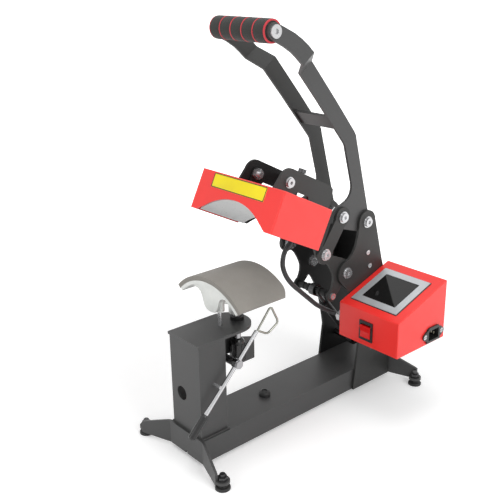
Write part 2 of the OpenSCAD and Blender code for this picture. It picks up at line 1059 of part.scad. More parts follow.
module head_plate() {
    raised()
        difference() {
            yz(inner_in, plate_t)
                union() {
                    translate(nose + [-1.3, 0.8])
                        circle(r = 18.5);
                    polygon([
                        [76.8, cov_z - 1], [117.3, cov_z - 1], [122, cov_z + 8.3], [147, cov_z + 8.3],
                        [150.5, cov_z + 0.4], [frame_yr + 1.2, cov_z + 0.4], [frame_yr + 1.2, 256],
                        [172, 250.5], [190, 242], [201.7, 230.5], [205.2, 226.2], [209, 224.4],
                        [214, 223.9], [224.7, 223.6], [232, 222.4], [238.5, 220], [246.3, 215.2],
                        [254, 209.6], [258.8, 204.5], [262, 197.5], [263.4, 190], [263.2, 183],
                        [261.4, 178], [269.5, 172], [277.6, 179.5], [280.8, 187], [283, 195],
                        [290, 205], [290, 226], [280, 237.2], [266, 237.3], [251.8, 236.6],
                        [237, 235.2], [230, 237.4], [224, 243], [214, 256], [204, 272], [198, 290],
                        nose + [92, 8.3], nose + [89.5, 15.3], nose + [84, 18.3], nose + [0, 19.2],
                        nose + [-18.7, 6]
                    ]);
                    translate(p4)
                        circle(r = 19.6);
                    translate(p5)
                        circle(r = 9.2);
                }
            // The lower edge stands clear of the cover
            translate([20, 60, cov_z - 20])
                cube([40, 90, 20.4]);
            xbar(nose, 4.01, 20, 60);
            xbar(p3c, 4 + slot_gap, 20, 60);
            xbar(p4, hole_r, 20, 60);
            xbar(p5, 3.05, 20, 60);
        }
}

module head_plate_right() {
    color("#4a4a48")
        placed()
            head_plate();
}

module head_plate_left() {
    color("#3c3c3a")
        placed()
            mirror([1, 0, 0])
                head_plate();
}

module head_cover() {
    w = cover_w / 2;
    yr = cov_y + cov_d;
    bend = 2;
    color("#ee3b33")
        placed()
            raised()
                difference() {
                    intersection() {
                        translate([0, 0, cov_z - cover_h])
                            linear_extrude(height = cover_h)
                                union() {
                                    for (s = [-1, 1])
                                        translate([s * (w - bend), cov_y + bend])
                                            circle(r = bend);
                                    polygon([
                                        [-w + bend, cov_y], [w - bend, cov_y], [w - bend, cov_y + bend],
                                        [w, cov_y + bend], [w, yr], [-w, yr], [-w, cov_y + bend],
                                        [-w + bend, cov_y + bend]
                                    ]);
                                }
                        translate([0, yr + 1, 0])
                            rotate([90, 0, 0])
                                linear_extrude(height = cov_d + 4)
                                    polygon([
                                        [-w - 1, 200], [w + 1, 200], [w + 1, cov_z - 1.8], [w - 0.8, cov_z],
                                        [-w + 0.8, cov_z], [-w - 1, cov_z - 1.8]
                                    ]);
                        yz(-w - 1, cover_w + 2)
                            polygon([
                                [cov_y - 1, 200], [yr + 1, 200], [yr + 1, cov_z], [cov_y + 0.8, cov_z],
                                [cov_y - 1, cov_z - 1.8]
                            ]);
                    }
                    translate([-w + cover_t, cov_y + cover_t, cov_z - cover_h - 1])
                        cube([cover_w - 2 * cover_t, cov_d, cover_h - cover_t + 1]);
                    translate([0, cov_y - 5, pad_zc])
                        rotate([-90, 0, 0])
                            cylinder(r = arch_r, h = 12, $fn = 120);
                    // Easy curve at the foot of the arch
                    translate([0, cov_y + 7, 0])
                        rotate([90, 0, 0])
                            linear_extrude(height = 12)
                                polygon([
                                    [-arch_x - 5, cov_z - cover_h - 1], [arch_x + 5, cov_z - cover_h - 1],
                                    [arch_x + 2, cov_z - cover_h + 1.2], [arch_x - 2.2, cov_z - cover_h + 3.8],
                                    [arch_x - 8.2, cov_z - cover_h + 7.6],
                                [-arch_x + 8.2, cov_z - cover_h + 7.6],
                                    [-arch_x + 2.2, cov_z - cover_h + 3.8], [-arch_x - 2, cov_z - cover_h + 1.2]
                                ]);
                    both()
                        translate([inner_in - 3.4, nose[0] - 10, cov_z - 5])
                            cube([4, 20, 10]);
                }
}

module head_frame() {
    fx = cover_w / 2 - cover_t;
    low = cov_z - cover_h + 3;
    color("#2c2c2b")
        placed()
            raised()
                difference() {
                    union() {
                        translate([-fx, frame_y, cov_z - cover_t - 2])
                            cube([2 * fx, frame_yr - frame_y, 2]);
                        both() {
                            translate([fx - 2, frame_y, low])
                                cube([2, frame_yr - frame_y, cov_z - cover_t - low]);
                            yz(inner_in - 2.8, 2.6)
                                union() {
                                    translate(nose)
                                        circle(r = 8.8);
                                    translate([nose[0] - 8.5, cov_z - cover_t - 1])
                                        square([17, 17]);
                                }
                        }
                        translate([-fx, frame_yr - 2, low])
                            cube([2 * fx, 2, cov_z - cover_t - low]);
                        translate([-12, frame_yr - 1, cov_z - cover_t - 2])
                            cube([24, 11, 2]);
                    }
                    // Arch through the rear wall
                    translate([0, frame_yr - 6, pad_zc])
                        rotate([-90, 0, 0])
                            cylinder(r = arch_r + 6, h = 12, $fn = 120);
                    both()
                        xbar(nose, 4.01, 20, 40);
                    for (x = [-40, 40])
                        for (y = [85, 128])
                            translate([x, y, cov_z - 10])
                                cylinder(r = 3, h = 12);
                }
}

module head_bolts() {
    color("#cfd0d1")
        placed()
            raised()
                both() {
                    difference() {
                        union() {
                            xbar(nose, 4, 20, inner_out + 0.1);
                            xbar(nose, 8, inner_out, inner_out + 1.2);
                            xbar(nose, 6.5, inner_out + 1.1, inner_out + 4.2);
                            xhex(nose, 8.2, inner_in - 9.5, inner_in - 2.8);
                        }
                        xhex(nose, 2.6, inner_out + 1.6, inner_out + 6);
                    }
                    difference() {
                        union() {
                            xbar(p5, 3, inner_in - 14, inner_out + 0.1);
                            xbar(p5, 5.2, inner_out, inner_out + 2.8);
                        }
                        xhex(p5, 2.2, inner_out + 1.2, inner_out + 4);
                    }
                }
}

module head_cross_bar() {
    color("#3a3a39")
        placed()
            raised()
                difference() {
                    translate([-inner_in, screw_y - 9, nose[1] + 1])
                        cube([2 * inner_in, 18, 12]);
                    translate([0, screw_y, nose[1] - 5])
                        cylinder(r = 4, h = 30);
                }
}

module adjust_screw() {
    color("#1f1f1f")
        placed()
            raised()
                translate([0, screw_y, 0])
                    union() {
                        translate([0, 0, cov_z - cover_t])
                            cylinder(r = 3.98, h = 43);
                        translate([0, 0, nose[1] + 13])
                            cylinder(r = 7.4, h = 6, $fn = 6);
                        translate([0, 0, cov_z + 40])
                            cylinder(r = 6, h = 5.5);
                    }
}

module heating_plate() {
    color("#d3d5d2")
        placed()
            raised()
                difference() {
                    union() {
                        intersection() {
                            arc_band(plate_r, plate_r + plate_th, 60, cov_y + 2.4, 87.6);
                            translate([-65.5, cov_y, cov_z - cover_h + 1.5])
                                cube([131, 98, 60]);
                        }
                        // Bosses and studs cast on the back
                        for (x = [-40, 40])
                            for (y = [85, 128]) {
                                translate([x, y, 262])
                                    cylinder(r = 7, h = cov_z - cover_t - 2 - 262);
                                translate([x, y, 270])
                                    cylinder(r = 2.9, h = cov_z - cover_t - 0.2 - 270);
                            }
                    }
                    for (a = [-24, 24])
                        translate([(plate_r + 7) * sin(a), cov_y + 10, pad_zc + (plate_r + 7) * cos(a)])
                            rotate([-90, 0, 0])
                                cylinder(r = 4.01, h = 100);
                }
}

module heaters() {
    color("#b8a890")
        placed()
            raised()
                for (a = [-24, 24])
                    translate([(plate_r + 7) * sin(a), cov_y + 11, pad_zc + (plate_r + 7) * cos(a)])
                        rotate([-90, 0, 0])
                            union() {
                                cylinder(r = 4, h = 82);
                                cylinder(r = 2, h = 88);
                            }
}

module rocker_shaft() {
    color("#2f2f2f")
        placed()
            raised()
                difference() {
                    union() {
                        xbar(p5, 5, -inner_in, inner_in);
                        xbar(p5, 6.6, 9, 14);
                        xbar(p5, 6.6, -14, -9);
                        xbar(p5, 5.8, 20, 26);
                        xbar(p5, 5.8, -26, -20);
                    }
                    both()
                        xbar(p5, 3.02, inner_in - 14.5, inner_in + 1);
                }
}

// Links

module link_plate() {
    difference() {
        yz(outer_in, plate_t)
            union() {
                translate(p1)
                    circle(r = 15);
                translate(p3)
                    circle(r = 15);
                polygon(side_pts(p1, 12, p3, 12));
            }
        xbar(p1, hole_r, 20, 60);
        xbar(p3, 4.01, 20, 60);
    }
}

module link_right() {
    color("#5d5d5b")
        placed()
            link_plate();
}

module link_left() {
    color("#4c4c4a")
        placed()
            mirror([1, 0, 0])
                link_plate();
}

module link_bolt() {
    difference() {
        union() {
            xbar(p3, 4, inner_in - 7, outer_out + 0.1);
            xbar(p3, 9, outer_out, outer_out + 1.2);
            xbar(p3, 7, outer_out + 1.1, outer_out + 4.4);
            xbar(p3, 12, inner_in - 1.7, inner_in - 0.2);
            xhex(p3, 7.5, inner_in - 7, inner_in - 1.6);
        }
        xhex(p3, 3, outer_out + 1.8, outer_out + 6);
    }
}

module link_bolt_right() {
    color("#d6d7d8")
        placed()
            link_bolt();
}

module link_bolt_left() {
    color("#d6d7d8")
        placed()
            mirror([1, 0, 0])
                link_bolt();
}

// Handle

// Moves a point of the arm with the grip height
function up_arm(q) =
    q[1] < arm_z ? q : [q[0], arm_z + (q[1] - arm_z) * arm_k];

module arm_outline() {
    pts = [
        [262.1, 292.7], [317.5, 274.2], [340.2, 290.2], [339, 297], [327.8, 308], [297.4, 422],
        [296.4, 427.5], [291.8, 434.7], [251.6, 484], [203, 541.6], [186, 556], [177, 564.5],
        [165, 573.5], [152, 581.5], [138, 588], [124, 594.2], [118, 585.2], [113.4, 575.4],
        [122, 571.2], [134.6, 565.1], [147.8, 557], [157.5, 549], [165.5, 541.6], [181, 527],
        [215.3, 487], [271, 419.8], [273.6, 415.5], [275, 410], [289.6, 357], [290.4, 349.5],
        [288.2, 341], [284, 335.5], [278.5, 331.5], [268, 327.5]
    ];
    translate(p1)
        circle(r = 18);
    translate(p2)
        circle(r = 17);
    translate(grip)
        circle(r = 10.8);
    polygon([for (q = pts) up_arm(q)]);
}

// Flat bar folded outwards twice, cut to the arm outline
module handle_arm() {
    difference() {
        intersection() {
            yz(20, 50)
                arm_outline();
            translate([0, 191.6, up_arm([0, 534.4])[1]])
                rotate([-53.13, 0, 0])
                    rotate([0, 0, -90])
                        translate([0, 0, -250])
                            linear_extrude(height = 500)
                                polygon([
                                    [-400, inner_in], [0, inner_in], [20.6, grip_x], [200, grip_x],
                                    [200, grip_x + plate_t], [19, grip_x + plate_t],
                                    [-1.7, inner_out], [-400, inner_out]
                                ]);
        }
        xbar(p1, bolt_r + 0.01, 20, 60);
        xbar(p2, hole_r, 20, 60);
        xbar(grip, 4.01, 40, 80);
    }
}

module handle_arm_right() {
    color("#646462")
        placed()
            handle_arm();
}

module handle_arm_left() {
    color("#3a3a38")
        placed()
            mirror([1, 0, 0])
                handle_arm();
}

module handle_bolts() {
    color("#d6d7d8")
        placed()
            both()
                difference() {
                    union() {
                        xbar(p1, bolt_r, 27, outer_out + 0.3);
                        xbar(p1, 9, outer_out + 0.2, outer_out + 1.4);
                        xbar(p1, 7, outer_out + 1.3, outer_out + 4.6);
                        xhex(p1, 9, inner_in - 6, inner_in);
                    }
                    xhex(p1, 3, outer_out + 2, outer_out + 6);
                }
}

module handle_crossbar() {
    color("#565654")
        placed()
            yz(-inner_in, 2 * inner_in)
                polygon([
                    for (q = [[240.8, 460.6], [256.8, 441.3], [259.9, 443.9], [243.9, 463.2]]) up_arm(q)
                ]);
}

module grip_rod() {
    color("#8f9194")
        placed()
            difference() {
                xbar(grip, rod_r, -grip_x, grip_x);
                xbar(grip, 4.01, -grip_x - 1, grip_x + 1);
            }
}

module grip_foam() {
    color("#2c2c29")
        placed()
            difference() {
                union() {
                    xbar(grip, grip_r, -grip_len / 2 + 1.6, grip_len / 2 - 1.6);
                    xbar(grip, grip_r - 2.6, -grip_len / 2, grip_len / 2);
                }
                xbar(grip, rod_r + 0.01, -grip_len, grip_len);
                for (x = ring_x)
                    difference() {
                        xbar(grip, grip_r + 2, x - 0.8, x + 0.8);
                        xbar(grip, grip_r - 1, x - 1, x + 1);
                    }
            }
}

// Four narrow bands and one at each end of the foam
module grip_rings() {
    color("#d9404a")
        placed() {
            for (x = ring_x)
                difference() {
                    xbar(grip, grip_r + 0.15, x - 0.8, x + 0.8);
                    xbar(grip, grip_r - 1, x - 1, x + 1);
                }
            both()
                difference() {
                    xbar(grip, grip_r - 0.3, grip_len / 2 - 1.6, grip_len / 2 - 0.2);
                    xbar(grip, grip_r - 2.6, grip_len / 2 - 2, grip_len / 2);
                }
        }
}

module grip_bolts() {
    color("#dcdddf")
        placed()
            both()
                difference() {
                    union() {
                        xbar(grip, 4, grip_x - 14, grip_x + plate_t + 0.1);
                        xbar(grip, 8.6, grip_x + plate_t, grip_x + plate_t + 3.4);
                    }
                    xhex(grip, 3.8, grip_x + plate_t + 1.2, grip_x + plate_t + 6);
                }
}

// Gas spring

module along_spring() {
    translate([0, gs[0], gs[1]])
        rotate([gs_a - 90, 0, 0])
            children();
}

module gas_cylinder() {
    color("#222222")
        placed()
            difference() {
                union() {
                    xbar(gs, 9, -5, 5);
                    along_spring() {
                        translate([0, 0, 7])
                            cylinder(r = 4.5, h = 6);
                        translate([0, 0, 12])
                            cylinder(r = gs_body, h = 100);
                    }
                }
                xbar(gs, tie_r + run_gap, -6, 6);
                along_spring()
                    translate([0, 0, 15])
                        cylinder(r = gs_rod + run_gap, h = 100);
            }
}

module gas_rod() {
    color("#6e7072")
        placed()
            difference() {
                union() {
                    along_spring() {
                        translate([0, 0, 40])
                            cylinder(r = gs_rod, h = gs_len - 45);
                        translate([0, 0, gs_len - 14])
                            cylinder(r = 4.6, h = 8);
                    }
                    along_spring()
                        translate([-5, 0, gs_len])
                            rotate([0, 90, 0])
                                cylinder(r = 9.4, h = 10);
                }
                along_spring()
                    translate([-6, 0, gs_len])
                        rotate([0, 90, 0])
                            cylinder(r = 5 + eye_gap, h = 12);
            }
}

module head_cable() {
    color("#2b2b2b")
        placed()
            tube_path(cable_pts, cable_r, cable_n);
}

base_beam();
front_leg_plate();
rear_leg_plate();
foot_screws();
foot_pads();
beam_bumper();
pedestal_column();
pedestal_top_plate();
rear_bracket();
stop_pin();
side_plate_left();
side_plate_right();
rear_cross_plate();
spring_pin();
pivot_bolts();
box_shell();
box_back_cover();
panel_frame();
panel_screen();
control_board();
switch_bezel();
switch_rocker();
power_inlet();
small_screws();
cable_gland();
platen_casting();
platen_pad();
guide_pin();
pressure_spindle();
spindle_collar();
pressure_knob();
lever_tube();
lever_grip();
lever_loop();
lever_shaft();
head_plate_left();
head_plate_right();
head_cover();
head_frame();
head_bolts();
head_cross_bar();
adjust_screw();
heating_plate();
heaters();
rocker_shaft();
link_left();
link_right();
link_bolt_left();
link_bolt_right();
handle_arm_left();
handle_arm_right();
handle_bolts();
handle_crossbar();
grip_rod();
grip_foam();
grip_rings();
grip_bolts();
gas_cylinder();
gas_rod();
head_cable();
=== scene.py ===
"""Looks for a desktop cap heat press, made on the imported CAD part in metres.

Each sub-assembly is a class with its sizes as fields. The finishes are frozen
dataclasses that build one material each. Repeated forms come from geometry nodes.
"""

import json
import logging
import math
from dataclasses import dataclass, field
from enum import Enum
from typing import Optional, Sequence

import bmesh
import bpy
from mathutils import Matrix, Vector

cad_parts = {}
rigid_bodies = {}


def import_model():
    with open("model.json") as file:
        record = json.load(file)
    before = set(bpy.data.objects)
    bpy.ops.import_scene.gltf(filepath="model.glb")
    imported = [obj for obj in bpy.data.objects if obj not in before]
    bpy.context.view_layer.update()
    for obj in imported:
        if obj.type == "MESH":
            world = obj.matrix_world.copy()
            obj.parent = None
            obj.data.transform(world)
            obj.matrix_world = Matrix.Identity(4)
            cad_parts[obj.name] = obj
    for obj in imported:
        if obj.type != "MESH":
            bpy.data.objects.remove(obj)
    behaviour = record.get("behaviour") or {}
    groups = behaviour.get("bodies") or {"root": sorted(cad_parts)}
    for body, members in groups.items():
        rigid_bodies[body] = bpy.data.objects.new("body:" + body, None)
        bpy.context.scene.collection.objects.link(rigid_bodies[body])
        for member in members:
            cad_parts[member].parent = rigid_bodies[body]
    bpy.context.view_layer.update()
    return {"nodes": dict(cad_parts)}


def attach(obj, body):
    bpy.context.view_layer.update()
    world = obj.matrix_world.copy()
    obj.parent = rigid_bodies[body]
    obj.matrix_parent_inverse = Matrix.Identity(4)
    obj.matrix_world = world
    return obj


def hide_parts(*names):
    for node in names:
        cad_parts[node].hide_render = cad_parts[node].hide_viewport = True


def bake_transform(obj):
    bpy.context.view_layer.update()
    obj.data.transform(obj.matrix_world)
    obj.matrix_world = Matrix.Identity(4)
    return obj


log = logging.getLogger("heat_press")

Point = tuple[float, float, float]
Colour = tuple[float, float, float]
Flat = tuple[float, float]
Socket = bpy.types.NodeSocket
Inputs = dict[str | int, object]

MM = 0.001
MERGE = 1e-7
# The part's origin, seen from the drawing's own one at the front of the pedestal.
CENTRE = Vector((0.02895, 0.1916125, 0.0))
HEAD_PIVOT = Vector((0.0, 0.280, 0.218))
HEAD_TILT = math.radians(26.6)
RAISED = (
    Matrix.Translation(HEAD_PIVOT)
    @ Matrix.Rotation(-HEAD_TILT, 4, "X")
    @ Matrix.Translation(-HEAD_PIVOT)
)


class Body(Enum):
    """The bodies of the part that pieces ride on."""

    FRAME = "frame"
    HANDLE = "handle"
    HEAD = "head"
    KNOB = "knob"
    PLATEN = "platen"


# Materials


def feed(tree: bpy.types.NodeTree, node: bpy.types.Node, inputs: Inputs) -> None:
    """Links or sets inputs of a node.

    Args:
        tree: the tree that holds the node.
        node: the node.
        inputs: a socket to link or a value to set, by the input's name or number.
    """
    for key, value in inputs.items():
        if isinstance(value, Socket):
            tree.links.new(value, node.inputs[key])
        else:
            node.inputs[key].default_value = value


def add_node(
    tree: bpy.types.NodeTree, kind: str, inputs: Optional[Inputs] = None
) -> bpy.types.Node:
    """Adds one node with its inputs.

    Args:
        tree: the tree to add to.
        kind: the node's type name.
        inputs: what feed takes.

    Returns:
        The node.
    """
    node = tree.nodes.new(kind)
    feed(tree, node, inputs or {})
    return node


class Shader:
    """Small wrapper round one material's node tree."""

    # The part of a noise factor's range that is spread over a span.
    NOISE_LOW = 0.3
    NOISE_HIGH = 0.7

    def __init__(self, name: str) -> None:
        """Starts an empty principled material.

        Args:
            name: the material's name.
        """
        self.material = bpy.data.materials.new(name)
        self.material.use_nodes = True
        self.tree = self.material.node_tree
        self.tree.nodes.clear()
        out = self.node("ShaderNodeOutputMaterial")
        self.bsdf = self.node("ShaderNodeBsdfPrincipled")
        feed(self.tree, out, {"Surface": self.bsdf.outputs[0]})
        self.coords = self.node("ShaderNodeTexCoord").outputs["Object"]

    def node(self, kind: str, inputs: Optional[Inputs] = None) -> bpy.types.Node:
        """Adds one node to the material, as add_node does."""
        return add_node(self.tree, kind, inputs)

    def stretched(self, scale: Point) -> Socket:
        """Object coordinates with one scale for each axis.

        Args:
            scale: factor along x, y and z.

        Returns:
            The stretched coordinates.
        """
        mapping = self.node("ShaderNodeMapping", {"Scale": scale, "Vector": self.coords})
        return mapping.outputs["Vector"]

    def noise(
        self,
        scale: float,
        detail: float = 3.0,
        rough: float = 0.55,
        vector: Optional[Socket] = None,
    ) -> Socket:
        """Noise texture factor.

        Args:
            scale: how many cells fit in a metre.
            detail: octaves.
            rough: strength of the finer octaves.
            vector: coordinates, or None for plain object coordinates.

        Returns:
            The noise value socket.
        """
        settings = {"Scale": scale, "Detail": detail, "Roughness": rough}
        node = self.node("ShaderNodeTexNoise", {**settings, "Vector": vector or self.coords})
        return node.outputs["Fac"]

    def cells(self, scale: float) -> Socket:
        """Voronoi distance, used for pores.

        Args:
            scale: how many cells fit in a metre.

        Returns:
            The distance socket.
        """
        node = self.node("ShaderNodeTexVoronoi", {"Scale": scale, "Vector": self.coords})
        return node.outputs["Distance"]

    def span(self, value: Socket, low: float, high: float) -> Socket:
        """Spreads the middle of a noise factor's range from low to high.

        Args:
            value: the value socket.
            low: result at and below NOISE_LOW.
            high: result at and above NOISE_HIGH.

        Returns:
            The mapped value.
        """
        limits = {"From Min": self.NOISE_LOW, "From Max": self.NOISE_HIGH}
        results = {"To Min": low, "To Max": high}
        node = self.node("ShaderNodeMapRange", {**limits, **results, "Value": value})
        return node.outputs["Result"]

    def blend_colours(
        self, value: Socket, a: Colour, b: Colour, low: float, high: float
    ) -> Socket:
        """Colour ramp between two colours.

        Args:
            value: the value socket.
            a: colour at and below low.
            b: colour at and above high.
            low: value of the first colour.
            high: value of the second colour.

        Returns:
            The colour socket.
        """
        node = self.node("ShaderNodeValToRGB", {"Fac": value})
        for number, (position, colour) in enumerate(((low, a), (high, b))):
            stop = node.color_ramp.elements[number]
            stop.position = position
            stop.color = (*colour, 1.0)
        return node.outputs["Color"]

    def bump(
        self, height: Socket, strength: float, distance: float, under: Optional[Socket] = None
    ) -> Socket:
        """Bump from a height value, on top of another bump if given.

        Args:
            height: the height socket.
            strength: 0 to 1.
            distance: depth in metres.
            under: a normal to add to.

        Returns:
            The normal socket.
        """
        inputs = {"Strength": strength, "Distance": distance, "Height": height}
        if under is not None:
            inputs["Normal"] = under
        return self.node("ShaderNodeBump", inputs).outputs["Normal"]

    def edges(self, radius: float, low: float = 0.04, high: float = 0.3) -> Socket:
        """How close a point lies to a sharp edge.

        Args:
            radius: reach from the edge in metres.
            low: turn of the normal that still counts as flat.
            high: turn of the normal that counts fully as edge.

        Returns:
            0 on flat faces to 1 along edges.
        """
        bevel = self.node("ShaderNodeBevel", {"Radius": radius})
        bevel.samples = 4
        plain = self.node("ShaderNodeNewGeometry")
        normals = {0: bevel.outputs["Normal"], 1: plain.outputs["Normal"]}
        dot = self.node("ShaderNodeVectorMath", normals)
        dot.operation = "DOT_PRODUCT"
        limits = {"From Min": 1.0 - low, "From Max": 1.0 - high}
        node = self.node("ShaderNodeMapRange", {**limits, "Value": dot.outputs["Value"]})
        return node.outputs["Result"]

    def wear_and_highlight_edges(self, colour: Socket, edge_wear_and_highlight: Colour, radius: float, amount: float) -> Socket:
        """Lays a paler, broken line along the edges of a painted piece: partly rubbed paint,
        partly a painted highlight where the edges would catch light.

        Args:
            colour: the paint colour.
            edge_wear_and_highlight: colour of the rubbed paint and painted highlight.
            radius: reach from the edge in metres.
            amount: share of the edge colour where it is strongest.

        Returns:
            The colour with paler edges.
        """
        patchy = self.span(self.noise(90.0, 4.0), 0.25 * amount, amount)
        share = self.node("ShaderNodeMath", {0: self.edges(radius), 1: patchy})
        share.operation = "MULTIPLY"
        mix = self.node("ShaderNodeMix")
        mix.data_type = "RGBA"
        # Inputs 6 and 7 and output 2 are the two colours and the mixed one.
        feed(self.tree, mix, {"Factor": share.outputs[0], 6: colour, 7: (*edge_wear_and_highlight, 1.0)})
        return mix.outputs[2]

    def set(self, name: str, value: object) -> None:
        """Sets or links one input of the principled shader.

        Args:
            name: the input's name.
            value: a number, colour or socket.
        """
        if isinstance(value, tuple):
            value = (*value, 1.0)
        feed(self.tree, self.bsdf, {name: value})


@dataclass(frozen=True)
class Finish:
    """A surface finish with a base colour."""

    name: str
    colour: Colour

    def shade(self, sh: Shader) -> None:
        """Fills in the shader. Finishes override this."""
        sh.set("Base Color", self.colour)

    def build(self) -> bpy.types.Material:
        """Builds the material.

        Returns:
            The new material.
        """
        sh = Shader(self.name)
        self.shade(sh)
        return sh.material

    def tint(self, factor: float) -> Colour:
        """The base colour made lighter or darker.

        Args:
            factor: multiplier.

        Returns:
            The new colour, kept within 0 to 1.
        """
        r, g, b = (min(1.0, max(0.0, c * factor)) for c in self.colour)
        return (r, g, b)

    def mottle(self, sh: Shader, value: Socket, tints: Flat, stops: Flat) -> Socket:
        """The base colour, uneven between two tints.

        Args:
            sh: the shader.
            value: the value that spreads the tints.
            tints: factors of the first and last tint.
            stops: values at which they lie.

        Returns:
            The colour socket.
        """
        dark, light = (self.tint(t) for t in tints)
        return sh.blend_colours(value, dark, light, *stops)


@dataclass(frozen=True)
class PowderCoat(Finish):
    """Fine textured powder coat on steel."""

    roughness: float = 0.42
    grain: float = 1300.0
    depth: float = 0.00006
    edge_wear_and_highlight: float = 2.6
    gloss: float = 0.5

    def shade(self, sh: Shader) -> None:
        """Satin paint with orange peel, and paler edges: slight rubbing and painted highlight."""
        broad = sh.noise(14.0, 4.0)
        paint = self.mottle(sh, broad, (0.9, 1.08), (0.35, 0.65))
        # Paler edges: partly rubbed paint, partly painted highlight.
        sh.set("Base Color", sh.wear_and_highlight_edges(paint, self.tint(self.edge_wear_and_highlight), 0.0006, 0.75))
        fine = sh.noise(self.grain, 2.0, 0.6)
        sh.set("Roughness", sh.span(broad, self.roughness - 0.05, self.roughness + 0.06))
        sh.set("Normal", sh.bump(fine, 0.35, self.depth))
        sh.set("Specular IOR Level", self.gloss)


@dataclass(frozen=True)
class GlossPaint(Finish):
    """Smooth semi-gloss enamel on folded sheet."""

    roughness: float = 0.3
    # Paler red edge colour: painted highlight along the folds, partly rubbed paint.
    edge_wear_and_highlight: Colour = (0.98, 0.32, 0.26)

    def shade(self, sh: Shader) -> None:
        """Even colour with a soft gloss and faint orange peel, and paler edges: painted highlight
        along the folds with some rubbing.
        """
        broad = sh.noise(9.0, 3.0)
        paint = self.mottle(sh, broad, (0.96, 1.02), (0.3, 0.7))
        # Paler edges: painted highlight along the folds, partly rubbed paint.
        sh.set("Base Color", sh.wear_and_highlight_edges(paint, self.edge_wear_and_highlight, 0.0007, 0.6))
        fine = sh.noise(60.0, 3.0)
        sh.set("Roughness", sh.span(fine, self.roughness - 0.04, self.roughness + 0.05))
        sh.set("Normal", sh.bump(sh.noise(520.0, 2.0), 0.22, 0.00008))
        sh.set("Coat Weight", 0.15)
        sh.set("Coat Roughness", 0.12)


@dataclass(frozen=True)
class Metal(Finish):
    """Bare or plated metal."""

    roughness: float = 0.15
    streaks: Point = (1.0, 1.0, 1.0)
    grain: float = 220.0
    depth: float = 0.00002
    metallic: float = 1.0

    def shade(self, sh: Shader) -> None:
        """Metal with fine scratches along one direction."""
        lines = sh.noise(self.grain, 3.0, 0.6, sh.stretched(self.streaks))
        broad = sh.noise(30.0, 3.0)
        sh.set("Base Color", self.mottle(sh, broad, (0.9, 1.04), (0.3, 0.7)))
        sh.set("Metallic", self.metallic)
        sh.set("Roughness", sh.span(lines, self.roughness * 0.75, self.roughness * 1.3))
        sh.set("Normal", sh.bump(lines, 0.25, self.depth))


@dataclass(frozen=True)
class CastMetal(Finish):
    """Sand-cast aluminium."""

    roughness: float = 0.5

    def shade(self, sh: Shader) -> None:
        """Grainy light metal with softly pitted skin."""
        pits = sh.noise(700.0, 4.0, 0.65)
        broad = sh.noise(40.0, 3.0)
        sh.set("Base Color", self.mottle(sh, broad, (0.9, 1.05), (0.3, 0.7)))
        sh.set("Metallic", 0.6)
        sh.set("Roughness", sh.span(pits, self.roughness - 0.1, self.roughness + 0.12))
        sh.set("Normal", sh.bump(pits, 0.5, 0.00025))


@dataclass(frozen=True)
class Elastomer(Finish):
    """Silicone or rubber with a dry, matte skin."""

    roughness: float = 0.7
    grain: float = 1600.0
    depth: float = 0.00012

    def shade(self, sh: Shader) -> None:
        """Matte skin with a fine moulded grain and dusty sheen."""
        broad = sh.noise(22.0, 5.0, 0.6)
        sh.set("Base Color", self.mottle(sh, broad, (0.92, 1.07), (0.35, 0.65)))
        sh.set("Roughness", sh.span(broad, self.roughness - 0.05, self.roughness + 0.08))
        sh.set("Normal", sh.bump(sh.noise(self.grain, 3.0, 0.7), 0.45, self.depth))
        sh.set("Sheen Weight", 0.12)
        sh.set("Sheen Roughness", 0.5)


@dataclass(frozen=True)
class FoamSkin(Finish):
    """Closed-cell foam with small open pores."""

    def shade(self, sh: Shader) -> None:
        """Pores over a slightly lumpy matte skin, with painted shade in the pores."""
        pores = sh.cells(1500.0)
        lumps = sh.noise(260.0, 4.0)
        # Darker in the pores: painted shade in the pits that the pore bump makes.
        sh.set("Base Color", self.mottle(sh, pores, (0.55, 1.25), (0.1, 0.55)))
        sh.set("Roughness", 0.85)
        under = sh.bump(lumps, 0.4, 0.0004)
        sh.set("Normal", sh.bump(pores, 0.6, 0.00035, under))
        sh.set("Sheen Weight", 0.12)


@dataclass(frozen=True)
class Plastic(Finish):
    """Moulded plastic."""

    roughness: float = 0.35
    grain: float = 900.0
    strength: float = 0.25

    def shade(self, sh: Shader) -> None:
        """Even colour with a light spark-eroded grain."""
        sh.set("Base Color", self.mottle(sh, sh.noise(25.0), (0.92, 1.06), (0.3, 0.7)))
        fine = sh.noise(70.0)
        sh.set("Roughness", sh.span(fine, self.roughness - 0.04, self.roughness + 0.06))
        sh.set("Normal", sh.bump(sh.noise(self.grain, 2.0), self.strength, 0.00007))


@dataclass(frozen=True)
class DarkGlass(Finish):
    """Blank display window."""

    def shade(self, sh: Shader) -> None:
        """Black glass with a faint smear in its gloss."""
        sh.set("Base Color", self.colour)
        sh.set("Roughness", sh.span(sh.noise(18.0, 3.0), 0.03, 0.09))
        sh.set("Specular IOR Level", 0.35)
        sh.set("Coat Weight", 0.2)
        sh.set("Coat Roughness", 0.03)


